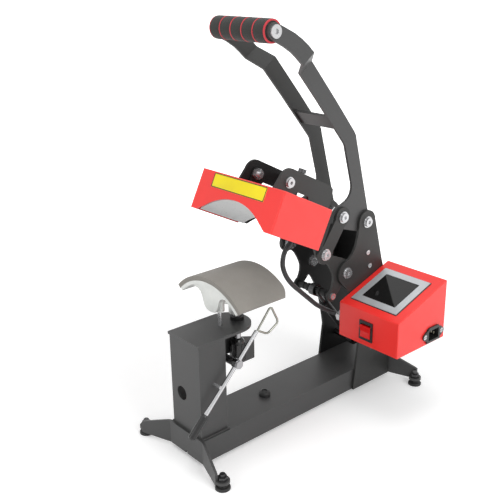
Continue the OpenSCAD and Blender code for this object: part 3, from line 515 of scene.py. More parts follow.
FINISHES: dict[str, Finish] = {
    "frame": PowderCoat("powder_dark_grey", (0.047, 0.047, 0.047), 0.44),
    # A darker copy of the frame's powder coat: painted shade on the head plates, links and left
    # handle arm, which wear the frame's own paint.
    "plate": PowderCoat("powder_plates_painted_shade", (0.028, 0.028, 0.027), 0.48, edge_wear_and_highlight=3.4, gloss=0.4),
    # The frame's powder coat made darker still: painted deep shade on the left plates inside the
    # head.
    "inner_plate_painted_shade": PowderCoat(
        "powder_plates_deep_painted_shade", (0.011, 0.011, 0.011), 0.52, edge_wear_and_highlight=5.0, gloss=0.2
    ),
    "black": PowderCoat("powder_black", (0.010, 0.010, 0.010), 0.45, edge_wear_and_highlight=4.0, gloss=0.25),
    "red": GlossPaint("enamel_red", (0.94, 0.030, 0.024), 0.34),
    "chrome": Metal("chrome", (0.54, 0.54, 0.55), 0.14, grain=300.0),
    "zinc": Metal(
        "zinc_plate", (0.52, 0.52, 0.53), 0.22, grain=260.0, depth=0.00003, metallic=0.75
    ),
    "wire": Metal(
        "bright_wire", (0.34, 0.34, 0.30), 0.22, grain=260.0, depth=0.00004, metallic=0.85
    ),
    "steel": Metal("bare_steel", (0.40, 0.40, 0.41), 0.32, grain=500.0, depth=0.00004),
    "dark_steel": Metal("dark_steel", (0.09, 0.09, 0.092), 0.34, grain=500.0, depth=0.00004),
    "brushed": Metal(
        "brushed_silver", (0.58, 0.60, 0.62), 0.4, (1.0, 0.03, 0.03), 900.0, 0.00003, 0.55
    ),
    "machined": Metal(
        "machined_aluminium", (0.60, 0.61, 0.61), 0.36, (0.2, 1.0, 0.2), 900.0, 0.00003, 0.6
    ),
    "cast": CastMetal("cast_aluminium", (0.62, 0.63, 0.61), 0.5),
    "silicone": Elastomer("silicone_warm_grey", (0.262, 0.246, 0.222), 0.78),
    "rubber": Elastomer("rubber_black", (0.011, 0.011, 0.011), 0.6, 1100.0),
    "cable": Elastomer("cable_jacket", (0.014, 0.014, 0.015), 0.42, 900.0, 0.00006),
    "foam": FoamSkin("foam_black", (0.017, 0.017, 0.015)),
    "foam_red": Elastomer("foam_red", (0.60, 0.035, 0.05), 0.6),
    "plastic": Plastic("plastic_black", (0.018, 0.018, 0.018), 0.36),
    "knob": Plastic("plastic_gloss_black", (0.012, 0.012, 0.012), 0.2, 700.0, 0.12),
    "rocker": Plastic("rocker_red", (0.80, 0.012, 0.012), 0.2, 500.0, 0.1),
    "screen": DarkGlass("display_glass", (0.006, 0.006, 0.006)),
    "board": Plastic("board_green", (0.02, 0.13, 0.05), 0.45),
    "label": Plastic("label_yellow", (0.98, 0.78, 0.0), 0.38, 300.0, 0.08),
    "label_line": Plastic("label_black", (0.012, 0.012, 0.012), 0.4, 300.0, 0.08),
    "pin": Metal("inlet_pin", (0.30, 0.28, 0.22), 0.35),
}


class Palette:
    """Builds each finish once and hands it out by name."""

    def __init__(self) -> None:
        """Starts with nothing built."""
        self.built: dict[str, bpy.types.Material] = {}

    def get(self, name: str) -> bpy.types.Material:
        """The material of a finish.

        Args:
            name: a key of FINISHES.

        Returns:
            The material.
        """
        if name not in self.built:
            self.built[name] = FINISHES[name].build()
        return self.built[name]


# The CAD nodes that each finish covers.
FINISH_NODES: dict[str, tuple[str, ...]] = {
    "frame": (
        "base_beam", "front_leg_plate", "rear_leg_plate", "pedestal_column", "pedestal_top_plate",
        "rear_bracket", "head_cross_bar", "handle_arm_right", "handle_crossbar",
    ),
    "dark_steel": ("foot_screws", "spring_pin", "adjust_screw", "gas_rod"),
    "rubber": ("foot_pads", "beam_bumper"),
    "zinc": (
        "stop_pin", "pivot_bolts", "small_screws", "cable_gland", "guide_pin", "head_bolts",
        "link_bolt_left", "link_bolt_right", "handle_bolts", "grip_bolts",
    ),
    # Painted deep shade: the frame paint made darker on the left plates.
    "inner_plate_painted_shade": ("side_plate_left", "head_plate_left"),
    # Frame paint made darker: painted shade.
    "plate": (
        "side_plate_right", "head_plate_right", "link_left", "link_right", "handle_arm_left",
    ),
    "black": (
        "rear_cross_plate", "box_back_cover", "spindle_collar", "head_frame", "rocker_shaft",
        "gas_cylinder",
    ),
    "red": ("box_shell", "head_cover"),
    "brushed": ("panel_frame",),
    "screen": ("panel_screen",),
    "board": ("control_board",),
    "plastic": ("switch_bezel", "power_inlet"),
    "rocker": ("switch_rocker",),
    "cast": ("platen_casting",),
    "silicone": ("platen_pad",),
    "steel": ("pressure_spindle", "lever_shaft", "heaters", "grip_rod"),
    "knob": ("pressure_knob", "lever_grip"),
    "chrome": ("lever_tube",),
    "wire": ("lever_loop",),
    "machined": ("heating_plate",),
    "foam": ("grip_foam",),
    "foam_red": ("grip_rings",),
    "cable": ("head_cable",),
}
NODE_FINISH: dict[str, str] = {
    node: finish for finish, nodes in FINISH_NODES.items() for node in nodes
}


# Mesh helpers


def strips(rows: int, count: int, closed: bool = False) -> list[list[int]]:
    """Quads between neighbouring rings of points.

    Args:
        rows: how many rings.
        count: points in each ring.
        closed: whether the last ring joins the first.

    Returns:
        The faces.
    """
    faces: list[list[int]] = []
    for i in range(rows if closed else rows - 1):
        a, b = i * count, (i + 1) % rows * count
        for k in range(count):
            m = (k + 1) % count
            faces.append([a + k, a + m, b + m, b + k])
    return faces


def finished(
    name: str,
    verts: Sequence[Sequence[float]],
    faces: Sequence[Sequence[int]],
    material: bpy.types.Material,
    smooth: float = 0.6,
) -> bpy.types.Object:
    """Makes a plain mesh object with outward normals.

    Args:
        name: the object's name.
        verts: points in metres, from the drawing's own origin.
        faces: vertex numbers.
        material: its only material.
        smooth: angle in radians under which edges shade smooth.

    Returns:
        The object, at the origin.
    """
    mesh = bpy.data.meshes.new(name)
    mesh.from_pydata([tuple(Vector(v) - CENTRE) for v in verts], [], [tuple(f) for f in faces])
    mesh.validate()
    bm = bmesh.new()
    bm.from_mesh(mesh)
    bmesh.ops.remove_doubles(bm, verts=bm.verts, dist=MERGE)
    bmesh.ops.recalc_face_normals(bm, faces=bm.faces)
    for f in bm.faces:
        f.smooth = True
    for e in bm.edges:
        if len(e.link_faces) == 2 and e.calc_face_angle(0.0) > smooth:
            e.smooth = False
    bm.to_mesh(mesh)
    bm.free()
    mesh.materials.append(material)
    obj = bpy.data.objects.new(name, mesh)
    bpy.context.scene.collection.objects.link(obj)
    return obj


def prism(
    name: str,
    outline: Sequence[Flat],
    low: float,
    high: float,
    place: Matrix,
    material: bpy.types.Material,
    edge: float = 0.0,
) -> bpy.types.Object:
    """A flat plate with an optional small rounding on its top edge.

    Args:
        name: the object's name.
        outline: the outline, counter-clockwise, in metres.
        low: height of the underside.
        high: height of the top.
        place: turns the plate into place.
        material: its material.
        edge: rounding radius on the top rim.

    Returns:
        The object.
    """
    n = len(outline)
    cx = sum(p[0] for p in outline) / n
    cy = sum(p[1] for p in outline) / n
    levels: list[Flat] = [(low, 0.0)]
    if edge > 0:
        for k in range(5):
            a = math.pi / 2 * k / 4
            levels.append((high - edge + edge * math.sin(a), edge * (1 - math.cos(a))))
    else:
        levels.append((high, 0.0))
    verts: list[Vector] = []
    for z, inset in levels:
        for x, y in outline:
            d = Vector((x - cx, y - cy))
            span = max(d.length, 1e-9)
            s = max(0.0, 1 - inset / span * 1.2)
            verts.append(place @ Vector((cx + d.x * s, cy + d.y * s, z)))
    top = (len(levels) - 1) * n
    faces = [list(range(n))[::-1], *strips(len(levels), n), list(range(top, top + n))]
    return finished(name, verts, faces, material)


def rounded_rect(
    w: float, h: float, r: float, steps: int = 5, centre: Flat = (0.0, 0.0)
) -> list[Flat]:
    """Outline of a rectangle with rounded corners.

    Args:
        w: width.
        h: height.
        r: corner radius.
        steps: segments in each corner.
        centre: middle of the rectangle.

    Returns:
        Points, counter-clockwise.
    """
    pts: list[Flat] = []
    for sx, sy, a0 in ((1, -1, -90), (1, 1, 0), (-1, 1, 90), (-1, -1, 180)):
        for k in range(steps + 1):
            a = math.radians(a0 + 90 * k / steps)
            pts.append(
                (
                    centre[0] + sx * (w / 2 - r) + r * math.cos(a),
                    centre[1] + sy * (h / 2 - r) + r * math.sin(a),
                )
            )
    return pts


def ring_plate(
    name: str,
    outer: Sequence[Flat],
    inner: Sequence[Flat],
    low: float,
    high: float,
    place: Matrix,
    material: bpy.types.Material,
) -> bpy.types.Object:
    """A flat closed ring between two outlines with the same number of points.

    Args:
        name: the object's name.
        outer: outer outline.
        inner: inner outline.
        low: height of the underside.
        high: height of the top.
        place: turns the ring into place.
        material: its material.

    Returns:
        The object.
    """
    rows = [(outer, low), (outer, high), (inner, high), (inner, low)]
    verts = [place @ Vector((x, y, z)) for pts, z in rows for x, y in pts]
    return finished(name, verts, strips(len(rows), len(outer), True), material)


def smooth_path(points: Sequence[Point], step: float) -> list[Vector]:
    """Catmull-Rom curve through points, cut in even steps.

    Args:
        points: the route.
        step: length of one step in metres.

    Returns:
        The fine points.
    """
    pts = [Vector(p) for p in points]
    ext = [pts[0] * 2 - pts[1], *pts, pts[-1] * 2 - pts[-2]]
    fine: list[Vector] = []
    for i in range(1, len(ext) - 2):
        p0, p1, p2, p3 = ext[i - 1 : i + 3]
        count = max(2, int((p2 - p1).length / step))
        for k in range(count):
            t = k / count
            fine.append(
                0.5
                * (
                    2 * p1
                    + (p2 - p0) * t
                    + (2 * p0 - 5 * p1 + 4 * p2 - p3) * t * t
                    + (3 * p1 - p0 - 3 * p2 + p3) * t * t * t
                )
            )
    fine.append(pts[-1])
    return fine


def tube(
    name: str,
    path: Sequence[Vector],
    radius: float,
    material: bpy.types.Material,
    sides: int = 20,
) -> bpy.types.Object:
    """A round tube with flat closed ends along a path.

    Args:
        name: the object's name.
        path: centreline.
        radius: radius in metres.
        material: its material.
        sides: facets round the tube.

    Returns:
        The object.
    """
    last = len(path) - 1
    verts: list[Vector] = []
    normal = Vector((1, 0, 0))
    for i, p in enumerate(path):
        d = (path[min(i + 1, last)] - path[max(i - 1, 0)]).normalized()
        if i == 0:
            normal = d.orthogonal().normalized()
        normal = (normal - d * normal.dot(d)).normalized()
        side = d.cross(normal)
        for k in range(sides):
            a = 2 * math.pi * k / sides
            verts.append(p + radius * (math.cos(a) * normal + math.sin(a) * side))
    end = last * sides
    caps = [list(range(sides))[::-1], list(range(end, end + sides))]
    return finished(name, verts, strips(len(path), sides) + caps, material)


# Geometry nodes


class NodeForm:
    """A geometry node tree that is turned into a plain mesh."""

    def __init__(self, name: str, inputs: Sequence[tuple[str, str, float]]) -> None:
        """Starts a tree with named inputs.

        Args:
            name: the tree's name.
            inputs: name, socket type and default of each input.
        """
        self.tree = bpy.data.node_groups.new(name, "GeometryNodeTree")
        face = self.tree.interface
        face.new_socket("Geometry", in_out="INPUT", socket_type="NodeSocketGeometry")
        face.new_socket("Geometry", in_out="OUTPUT", socket_type="NodeSocketGeometry")
        self.ids: dict[str, str] = {}
        for label, kind, value in inputs:
            item = face.new_socket(label, in_out="INPUT", socket_type=kind)
            item.default_value = value
            self.ids[label] = item.identifier
        item = face.new_socket("Material", in_out="INPUT", socket_type="NodeSocketMaterial")
        self.ids["Material"] = item.identifier
        self.source = self.add("NodeGroupInput")
        self.end = self.add("NodeGroupOutput")

    def add(self, kind: str, inputs: Optional[Inputs] = None) -> bpy.types.Node:
        """Adds one node to the tree, as add_node does."""
        return add_node(self.tree, kind, inputs)

    def value(self, label: str) -> Socket:
        """The input with that name."""
        return self.source.outputs[label]

    def close(self, shape: Socket) -> None:
        """Ends the tree in realized instances with the material set.

        Args:
            shape: the geometry to finish.
        """
        real = self.add("GeometryNodeRealizeInstances", {"Geometry": shape})
        inputs = {"Geometry": real.outputs["Geometry"], "Material": self.value("Material")}
        paint = self.add("GeometryNodeSetMaterial", inputs)
        feed(self.tree, self.end, {"Geometry": paint.outputs["Geometry"]})

    def bake(
        self,
        name: str,
        settings: dict[str, object],
        places: Sequence[Matrix],
        smooth: float = 0.6,
    ) -> bpy.types.Object:
        """Evaluates the tree and copies the result to each place.

        Args:
            name: the finished object's name.
            settings: input values by name.
            places: one matrix for each copy.
            smooth: angle in radians under which edges shade smooth.

        Returns:
            One plain mesh object at the origin.
        """
        host = bpy.data.objects.new(name + ".host", bpy.data.meshes.new(name + ".host"))
        bpy.context.scene.collection.objects.link(host)
        modifier = host.modifiers.new("form", "NODES")
        modifier.node_group = self.tree
        for label, value in settings.items():
            modifier[self.ids[label]] = value
        bpy.context.view_layer.update()
        graph = bpy.context.evaluated_depsgraph_get()
        baked = bpy.data.meshes.new_from_object(host.evaluated_get(graph))
        verts: list[Vector] = []
        faces: list[list[int]] = []
        for place in places:
            start = len(verts)
            verts.extend(place @ v.co for v in baked.vertices)
            faces.extend([start + i for i in p.vertices] for p in baked.polygons)
        bpy.data.objects.remove(host)
        return finished(name, verts, faces, settings["Material"], smooth)


class ThreadForm(NodeForm):
    """A screw thread: a small ridge that follows a helix up the z axis."""

    def __init__(self) -> None:
        """Builds the tree."""
        super().__init__(
            "screw_thread",
            [
                ("Radius", "NodeSocketFloat", 0.004),
                ("Height", "NodeSocketFloat", 0.01),
                ("Turns", "NodeSocketFloat", 8.0),
                ("Ridge", "NodeSocketFloat", 0.0004),
            ],
        )
        radius = self.value("Radius")
        spiral = self.add(
            "GeometryNodeCurveSpiral",
            {
                "Resolution": 24,
                "Rotations": self.value("Turns"),
                "Start Radius": radius,
                "End Radius": radius,
                "Height": self.value("Height"),
            },
        )
        profile = self.add(
            "GeometryNodeCurvePrimitiveCircle", {"Resolution": 4, "Radius": self.value("Ridge")}
        )
        curves = {"Curve": spiral.outputs["Curve"], "Profile Curve": profile.outputs["Curve"]}
        sweep = self.add("GeometryNodeCurveToMesh", {"Fill Caps": True, **curves})
        self.close(sweep.outputs["Mesh"])


# Sub-assemblies


@dataclass(frozen=True)
class Lamp:
    """One soft area light: where it stands, the point it faces, its size and its watts."""

    name: str
    place: Point
    aim: Point
    size: Flat
    power: float


@dataclass
class Studio:
    """Floor, lights and camera."""

    focal: float = 56.16
    place: Point = (0.7872, -0.5504, 0.660)
    azimuth: float = 48.5
    fall: float = 19.7
    roll: float = -0.6
    shift: Flat = (-0.026, -0.008)
    ambient: float = 0.55
    lift: float = 0.25
    glow_from: float = 0.3
    glow_to: float = 1.1
    floor_half: float = 30.0
    lamps: tuple[Lamp, ...] = (
        Lamp("key", (1.5, 0.1, 1.2), (0.0, 0.2, 0.25), (0.9, 0.9), 12.0),
        Lamp("front", (-0.3, -1.7, 1.0), (0.0, 0.15, 0.25), (1.0, 0.8), 6.5),
        Lamp("over", (0.1, 0.1, 2.0), (0.0, 0.2, 0.3), (0.9, 0.9), 8.0),
    )

    def camera(self) -> None:
        """Sets the camera at the photograph's angle."""
        data = bpy.data.cameras.new("camera")
        data.sensor_width = 36.0
        data.lens = self.focal
        data.shift_x, data.shift_y = self.shift
        data.clip_end = 50.0
        az, el, ro = (math.radians(a) for a in (self.azimuth, self.fall, self.roll))
        ahead = Vector(
            (-math.sin(az) * math.cos(el), math.cos(az) * math.cos(el), -math.sin(el))
        )
        right = Vector((math.cos(az), math.sin(az), 0.0))
        up = right.cross(ahead)
        right, up = (
            math.cos(ro) * right + math.sin(ro) * up,
            -math.sin(ro) * right + math.cos(ro) * up,
        )
        turn = Matrix((right, up, -ahead)).transposed().to_4x4()
        cam = bpy.data.objects.new("camera", data)
        cam.matrix_world = Matrix.Translation(Vector(self.place) - CENTRE) @ turn
        bpy.context.scene.collection.objects.link(cam)
        bpy.context.scene.camera = cam

    def light(self, lamp: Lamp) -> None:
        """Adds one lamp.

        Args:
            lamp: the lamp.
        """
        data = bpy.data.lights.new(lamp.name, "AREA")
        data.shape = "RECTANGLE"
        data.size, data.size_y = lamp.size
        data.energy = lamp.power
        obj = bpy.data.objects.new(lamp.name, data)
        place = Vector(lamp.place)
        obj.location = place - CENTRE
        obj.rotation_euler = (Vector(lamp.aim) - place).to_track_quat("-Z", "Y").to_euler()
        bpy.context.scene.collection.objects.link(obj)

    @staticmethod
    def link_seen(
        tree: bpy.types.NodeTree,
        socket: Socket,
        unseen: float,
        seen: float | Socket,
    ) -> None:
        """Drives a strength by whether the camera sees it, straight or in a reflection.

        Args:
            tree: the node tree to add to.
            socket: the strength input.
            unseen: strength for the light that falls on things.
            seen: strength for rays from the camera, mirrors and glass.
        """
        path = tree.nodes.new("ShaderNodeLightPath")
        total = path.outputs["Is Camera Ray"]
        for label in ("Is Glossy Ray", "Is Transmission Ray"):
            either = add_node(tree, "ShaderNodeMath", {0: total, 1: path.outputs[label]})
            either.operation = "MAXIMUM"
            total = either.outputs[0]
        inputs = {"To Min": unseen, "To Max": seen, "Value": total}
        spread = add_node(tree, "ShaderNodeMapRange", inputs)
        tree.links.new(spread.outputs["Result"], socket)

    def far_white(self, sh: Shader) -> Socket:
        """Glow of the floor, which grows to plain white away from the object.

        Args:
            sh: the floor's shader.

        Returns:
            The glow by distance from the middle.
        """
        far = sh.node("ShaderNodeVectorMath", {0: sh.coords})
        far.operation = "LENGTH"
        limits = {"From Min": self.glow_from, "From Max": self.glow_to}
        results = {"To Min": self.lift, "To Max": 1.0}
        grow = sh.node(
            "ShaderNodeMapRange", {**limits, **results, "Value": far.outputs["Value"]}
        )
        grow.interpolation_type = "SMOOTHSTEP"
        return grow.outputs["Result"]

    def build(self) -> None:
        """Makes the world, floor, lights and camera."""
        scene = bpy.context.scene
        scene.view_settings.view_transform = "Standard"
        scene.view_settings.look = "None"
        scene.view_settings.exposure = 0.0
        world = bpy.data.worlds.new("studio")
        world.use_nodes = True
        tree = world.node_tree
        back = tree.nodes["Background"]
        back.inputs["Color"].default_value = (1.0, 1.0, 1.0, 1.0)
        self.link_seen(tree, back.inputs["Strength"], self.ambient, 1.0)
        scene.world = world
        for lamp in self.lamps:
            self.light(lamp)
        mesh = bpy.data.meshes.new("floor")
        corners = ((-1, -1), (1, -1), (1, 1), (-1, 1))
        points = [(x * self.floor_half, y * self.floor_half, 0.0) for x, y in corners]
        mesh.from_pydata(points, [], [(0, 1, 2, 3)])
        floor = bpy.data.objects.new("floor", mesh)
        sh = Shader("floor_white")
        dark, light = (0.93, 0.93, 0.93), (0.95, 0.95, 0.95)
        sh.set("Base Color", sh.blend_colours(sh.noise(3.0), dark, light, 0.3, 0.7))
        sh.set("Roughness", 0.8)
        sh.set("Specular IOR Level", 0.1)
        sh.set("Emission Color", (1.0, 1.0, 1.0))
        self.link_seen(sh.tree, sh.bsdf.inputs["Emission Strength"], 0.0, self.far_white(sh))
        mesh.materials.append(sh.material)
        scene.collection.objects.link(floor)
        self.camera()


@dataclass
class CadParts:
    """The carried-over CAD nodes and their finishes."""

    nodes: dict[str, bpy.types.Object]
    palette: Palette

    def dress(self) -> None:
        """Gives every CAD node its finish."""
        for name, obj in self.nodes.items():
            material = self.palette.get(NODE_FINISH[name])
            if not obj.material_slots:
                obj.data.materials.append(material)
            for part in obj.material_slots:
                part.material = material
            log.info("node %s: %s", name, material.name)


@dataclass
class HeadLabel:
    """Blank warning-plate area on the front of the head cover."""

    palette: Palette
    left: float = -57.0
    right: float = 53.0
    top: float = 293.4
    bottom: float = 272.8
    face_y: float = 51.1
    thick: float = 0.35
    line: float = 1.1
    inset: float = 0.15
    corner: float = 1.2
    edge: float = 0.12
    outer_corner: float = 0.9
    inner_corner: float = 0.4
    sunk: float = 0.1
    proud: float = 0.2

    def build(self) -> None:
        """Makes the yellow plate and its plain border line."""
        w = (self.right - self.left) * MM
        h = (self.top - self.bottom) * MM
        place = (
            RAISED
            @ Matrix.Translation(
                (
                    (self.left + self.right) / 2 * MM,
                    self.face_y * MM,
                    (self.top + self.bottom) / 2 * MM,
                )
            )
            @ Matrix.Rotation(math.radians(90), 4, "X")
        )
        plate = prism(
            "head_label",
            rounded_rect(w, h, self.corner * MM),
            0.0,
            self.thick * MM,
            place,
            self.palette.get("label"),
            self.edge * MM,
        )
        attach(plate, Body.HEAD.value)
        inset, line = self.inset * MM, self.line * MM
        border = ring_plate(
            "head_label_border",
            rounded_rect(w - 2 * inset, h - 2 * inset, self.outer_corner * MM),
            rounded_rect(
                w - 2 * inset - 2 * line, h - 2 * inset - 2 * line, self.inner_corner * MM
            ),
            (self.thick - self.sunk) * MM,
            (self.thick + self.proud) * MM,
            place,
            self.palette.get("label_line"),
        )
        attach(border, Body.HEAD.value)


@dataclass
class PlatenPad:
    """Silicone pad over the curved platen, rounded at its two rear corners."""

    palette: Palette
    outer: float = 96.7
    thick: float = 6.7
    half: float = 45.5
    front: float = 44.0
    length: float = 89.0
    centre_z: float = 165.0
    corner: float = 16.0
    corner_out: float = 1.5
    fillet: float = 0.7
    across: int = 72
    deep: int = 26
    bend: int = 12

    @property
    def corner_x(self) -> float:
        """Where the rear corners turn, from the middle."""
        return self.outer * math.sin(math.radians(self.half)) + self.corner_out - self.corner

    def rows(self, inset: float) -> list[float]:
        """Depths of the grid rows, closer together in the corners.

        Args:
            inset: how far the outline is drawn in.

        Returns:
            Depths from front to rear.
        """
        corner_y = self.front + self.length - self.corner
        reach = self.outer * math.sin(math.radians(self.half)) - self.corner_x
        first = math.acos(min(1.0, reach / self.corner))
        radius = self.corner - inset
        start, stop = self.front + inset, corner_y + radius * math.sin(first)
        ys = [start + (stop - start) * k / self.deep for k in range(self.deep)]
        for k in range(self.bend + 1):
            ys.append(corner_y + radius * math.sin(first + (math.pi / 2 - first) * k / self.bend))
        return ys

    def grid(self, inset: float, r: float) -> list[list[Vector]]:
        """Points of the pad at one level.

        Args:
            inset: how far the outline is drawn in.
            r: radius of this level.

        Returns:
            Rows of points in metres, from front to rear.
        """
        corner_y = self.front + self.length - self.corner
        wall = r * math.sin(math.radians(self.half) - inset / self.outer)
        rows: list[list[Vector]] = []
        for y in self.rows(inset):
            limit = wall
            if y > corner_y:
                rest = (self.corner - inset) ** 2 - (y - corner_y) ** 2
                limit = min(wall, self.corner_x + math.sqrt(max(0.0, rest)))
            top = math.asin(limit / r)
            row = []
            for k in range(self.across + 1):
                a = top * (2 * k / self.across - 1)
                row.append(Vector((r * math.sin(a), y, self.centre_z + r * math.cos(a))) * MM)
            rows.append(row)
        return rows

    def levels(self) -> list[Flat]:
        """Inset and radius of each level, from the under face to the upper one."""
        inner, f = self.outer - self.thick, self.fillet
        under = [math.radians(90 * k / 3) for k in range(4)]
        lower = [(f * 0.5 * (1 - math.sin(a)), inner + f * 0.5 * (1 - math.cos(a))) for a in under]
        upper = [(f * (1 - math.cos(a)), self.outer - f + f * math.sin(a)) for a in under]
        return lower + upper

    def build(self) -> None:
        """Lofts the edge between the two curved faces."""
        verts: list[Vector] = []
        faces: list[list[int]] = []
        n, m = self.across + 1, self.deep + self.bend + 1
        levels = self.levels()
        rim = [(j, 0) for j in range(m - 1)] + [(m - 1, k) for k in range(n - 1)]
        rim += [(j, n - 1) for j in range(m - 1, 0, -1)] + [(0, k) for k in range(n - 1, 0, -1)]
        for level in (levels[0], levels[-1]):
            start = len(verts)
            for row in self.grid(*level):
                verts.extend(row)
            for j in range(m - 1):
                for k in range(n - 1):
                    a = start + j * n + k
                    faces.append([a, a + 1, a + n + 1, a + n])
        previous = [j * n + k for j, k in rim]
        for level in levels[1:-1]:
            start = len(verts)
            points = self.grid(*level)
            verts.extend(points[j][k] for j, k in rim)
            current = [start + i for i in range(len(rim))]
            faces.extend(self.band(previous, current))
            previous = current
        faces.extend(self.band(previous, [n * m + j * n + k for j, k in rim]))
        pad = finished("platen_pad_skin", verts, faces, self.palette.get("silicone"), 0.9)
        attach(pad, Body.PLATEN.value)
        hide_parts("platen_pad")

    @staticmethod
    def band(low: Sequence[int], high: Sequence[int]) -> list[list[int]]:
        """Quads between two closed rings of equal length.

        Args:
            low: vertices of one ring.
            high: vertices of the other.

        Returns:
            The faces.
        """
        count = len(low)
        return [
            [low[i], low[(i + 1) % count], high[(i + 1) % count], high[i]] for i in range(count)
        ]


@dataclass
class HeadCable:
    """Black cable from the control box to the heating plate."""

    palette: Palette
    radius: float = 3.6
    step: float = 2.0
    route: tuple[Point, ...] = (
        (40.2, 272.5, 147.5),
        (33.0, 272.5, 147.6),
        (27.5, 270.5, 148.6),
        (23.5, 266.0, 151.0),
        (21.0, 260.0, 155.0),
        (19.8, 251.5, 160.3),
        (19.5, 244.0, 166.0),
        (19.8, 236.8, 171.1),
        (20.2, 228.0, 178.7),
        (20.8, 219.5, 186.5),
        (21.4, 210.9, 194.2),
        (22.2, 202.0, 202.3),
        (23.0, 193.4, 210.0),
        (24.0, 184.4, 218.2),
        (25.0, 176.9, 226.0),
        (25.8, 170.4, 233.8),
        (26.4, 165.5, 241.3),
        (26.8, 161.6, 249.5),
        (27.0, 159.3, 258.0),
        (27.0, 159.6, 266.5),
        (27.0, 161.7, 274.3),
        (27.0, 166.0, 281.0),
        (27.0, 171.6, 286.5),
        (27.0, 177.4, 291.2),
        (27.0, 182.4, 296.1),
        (27.0, 185.1, 299.5),
        (27.0, 186.8, 303.3),
        (27.0, 187.4, 307.4),
        (27.0, 186.8, 311.6),
        (27.0, 185.1, 315.4),
        (27.0, 182.4, 318.6),
        (27.0, 179.1, 320.9),
        (27.0, 176.9, 322.0),
    )

    def build(self) -> None:
        """Sweeps the cable along its route and fixes it in place."""
        points = [tuple(c * MM for c in p) for p in self.route]
        path = smooth_path(points, self.step * MM)
        cable = tube("head_cable_skin", path, self.radius * MM, self.palette.get("cable"))
        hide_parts("head_cable")
        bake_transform(cable)


@dataclass
class GripFoam:
    """Foam sleeve in soft-edged segments between the red rings."""

    palette: Palette
    axis_y: float = 118.0
    axis_z: float = 585.2
    radius: float = 15.3
    bore: float = 7.0
    length: float = 107.6
    rings: tuple[float, ...] = (-32.28, -10.76, 10.76, 32.28)
    groove: float = 0.8
    step: float = 1.6
    step_depth: float = 2.6
    soft: float = 1.1
    sides: int = 64

    def profile(self) -> list[Flat]:
        """Radius along the sleeve.

        Returns:
            Pairs of x and radius, from one end to the other.
        """
        end = self.length / 2
        half, low = end - self.step, self.radius - self.step_depth
        stops = [-half, *self.rings, half]
        quarter = [math.radians(90 * k / 4) for k in range(5)]
        pts: list[Flat] = [(-end, low), (-half, low)]
        for a, b in zip(stops, stops[1:]):
            lo = a + (self.groove if a != -half else 0.0)
            hi = b - (self.groove if b != half else 0.0)
            soft = min(self.soft, (hi - lo) / 3)
            base = self.radius - soft
            pts += [(lo + soft * (1 - math.cos(t)), base + soft * math.sin(t)) for t in quarter]
            pts += [(hi - soft * (1 - math.sin(t)), base + soft * math.cos(t)) for t in quarter]
        return pts + [(half, low), (end, low)]

    def build(self) -> None:
        """Turns the profile round the grip axis."""
        line = self.profile()
        loop = [(line[0][0], self.bore), *line, (line[-1][0], self.bore)]
        verts: list[Vector] = []
        for x, r in loop:
            for k in range(self.sides):
                a = 2 * math.pi * k / self.sides
                y, z = self.axis_y + r * math.cos(a), self.axis_z + r * math.sin(a)
                verts.append(Vector((x, y, z)) * MM)
        faces = strips(len(loop), self.sides, True)
        foam = finished("grip_foam_skin", verts, faces, self.palette.get("foam"), 1.2)
        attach(foam, Body.HANDLE.value)
        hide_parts("grip_foam")


@dataclass
class ControlPanel:
    """Thin gasket round the silver frame and the pins in the power inlet."""

    palette: Palette
    box_y: float = 265.0
    box_d: float = 111.0
    front_z: float = 175.6
    rear_z: float = 213.5
    panel_u: float = 56.5
    panel_x: float = 97.0
    panel_w: float = 87.0
    panel_l: float = 84.0
    out: float = 1.3
    under: float = 0.5
    outer_corner: float = 1.3
    inner_corner: float = 0.2
    sunk: float = 0.1
    proud: float = 0.45
    inlet: Point = (157.0, 348.0, 134.5)
    pins: tuple[Flat, ...] = ((-7.0, -1.5), (0.0, 2.5), (7.0, -1.5))
    pin_w: float = 2.0
    pin_h: float = 4.0
    pin_corner: float = 0.5
    pin_edge: float = 0.4
    pin_back: float = -13.2
    pin_front: float = -2.0

    def build(self) -> None:
        """Makes the gasket line and three inlet pins."""
        slope = math.atan2(self.rear_z - self.front_z, self.box_d)
        place = (
            Matrix.Translation((0.0, self.box_y * MM, self.front_z * MM))
            @ Matrix.Rotation(slope, 4, "X")
            @ Matrix.Translation((self.panel_x * MM, self.panel_u * MM, 0.0))
        )
        w, h, out, under = (
            v * MM for v in (self.panel_w, self.panel_l, 2 * self.out, 2 * self.under)
        )
        gasket = ring_plate(
            "panel_gasket",
            rounded_rect(w + out, h + out, self.outer_corner * MM),
            rounded_rect(w - under, h - under, self.inner_corner * MM),
            -self.sunk * MM,
            self.proud * MM,
            place,
            self.palette.get("rubber"),
        )
        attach(gasket, Body.FRAME.value)
        face = Matrix.Translation(Vector(self.inlet) * MM) @ Matrix(
            ((0, 0, 1, 0), (1, 0, 0, 0), (0, 1, 0, 0), (0, 0, 0, 1))
        )
        w, h, corner = (v * MM for v in (self.pin_w, self.pin_h, self.pin_corner))
        for number, (dx, dz) in enumerate(self.pins):
            pin = prism(
                f"inlet_pin_{number}",
                rounded_rect(w, h, corner, 3, (dx * MM, dz * MM)),
                self.pin_back * MM,
                self.pin_front * MM,
                face,
                self.palette.get("pin"),
                self.pin_edge * MM,
            )
            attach(pin, Body.FRAME.value)


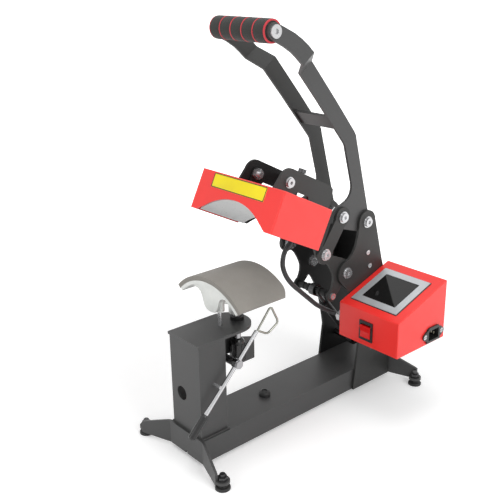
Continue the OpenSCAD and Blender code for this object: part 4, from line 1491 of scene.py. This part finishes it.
@dataclass
class Threads:
    """Screw threads on the feet, adjusting screw and pressure spindle."""

    palette: Palette
    ridge: float = 0.32
    feet_x: Flat = (-91.0, 91.0)
    feet_y: Flat = (-11.0, 401.0)
    adjust_y: float = 157.0
    spindle_y: float = 95.0
    form: ThreadForm = field(default_factory=ThreadForm)

    def one(
        self,
        name: str,
        radius: float,
        low: float,
        high: float,
        pitch: float,
        finish: str,
        body: Body,
        places: Sequence[Matrix],
    ) -> None:
        """Makes the thread of one group of equal screws.

        Args:
            name: the piece's name.
            radius: radius of the ridge line.
            low: height where the thread starts.
            high: height where it ends.
            pitch: rise in one turn.
            finish: name of the finish.
            body: the body it rides on.
            places: one matrix for each screw, at height zero.
        """
        height = (high - low) * MM
        thread = self.form.bake(
            name,
            {
                "Radius": radius * MM,
                "Height": height,
                "Turns": (high - low) / pitch,
                "Ridge": pitch * self.ridge * MM,
                "Material": self.palette.get(finish),
            },
            [p @ Matrix.Translation((0, 0, low * MM)) for p in places],
        )
        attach(thread, body.value)
        log.info("%s: %d faces", name, len(thread.data.polygons))

    def build(self) -> None:
        """Makes all threads."""
        feet = [
            Matrix.Translation((x * MM, y * MM, 0.0)) for x in self.feet_x for y in self.feet_y
        ]
        head = RAISED @ Matrix.Translation((0.0, self.adjust_y * MM, 0.0))
        spindle = Matrix.Translation((0.0, self.spindle_y * MM, 0.0))
        # name, ridge line radius, lower end, upper end, pitch, finish, body, places
        self.one("foot_threads", 3.85, 5.6, 9.4, 1.25, "dark_steel", Body.FRAME, feet)
        self.one("adjust_thread", 3.9, 295.0, 311.5, 1.25, "dark_steel", Body.HEAD, [head])
        self.one("spindle_thread", 4.85, 191.5, 232.0, 1.5, "steel", Body.KNOB, [spindle])


def main() -> None:
    """Builds the whole scene in order."""
    logging.basicConfig(level=logging.INFO, format="%(name)s %(message)s")
    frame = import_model()
    palette = Palette()
    Studio().build()
    CadParts(frame["nodes"], palette).dress()
    for part in (
        HeadCable(palette),
        PlatenPad(palette),
        GripFoam(palette),
        HeadLabel(palette),
        ControlPanel(palette),
        Threads(palette),
    ):
        part.build()
        log.info("built %s", type(part).__name__)


if __name__ == "__main__":
    main()
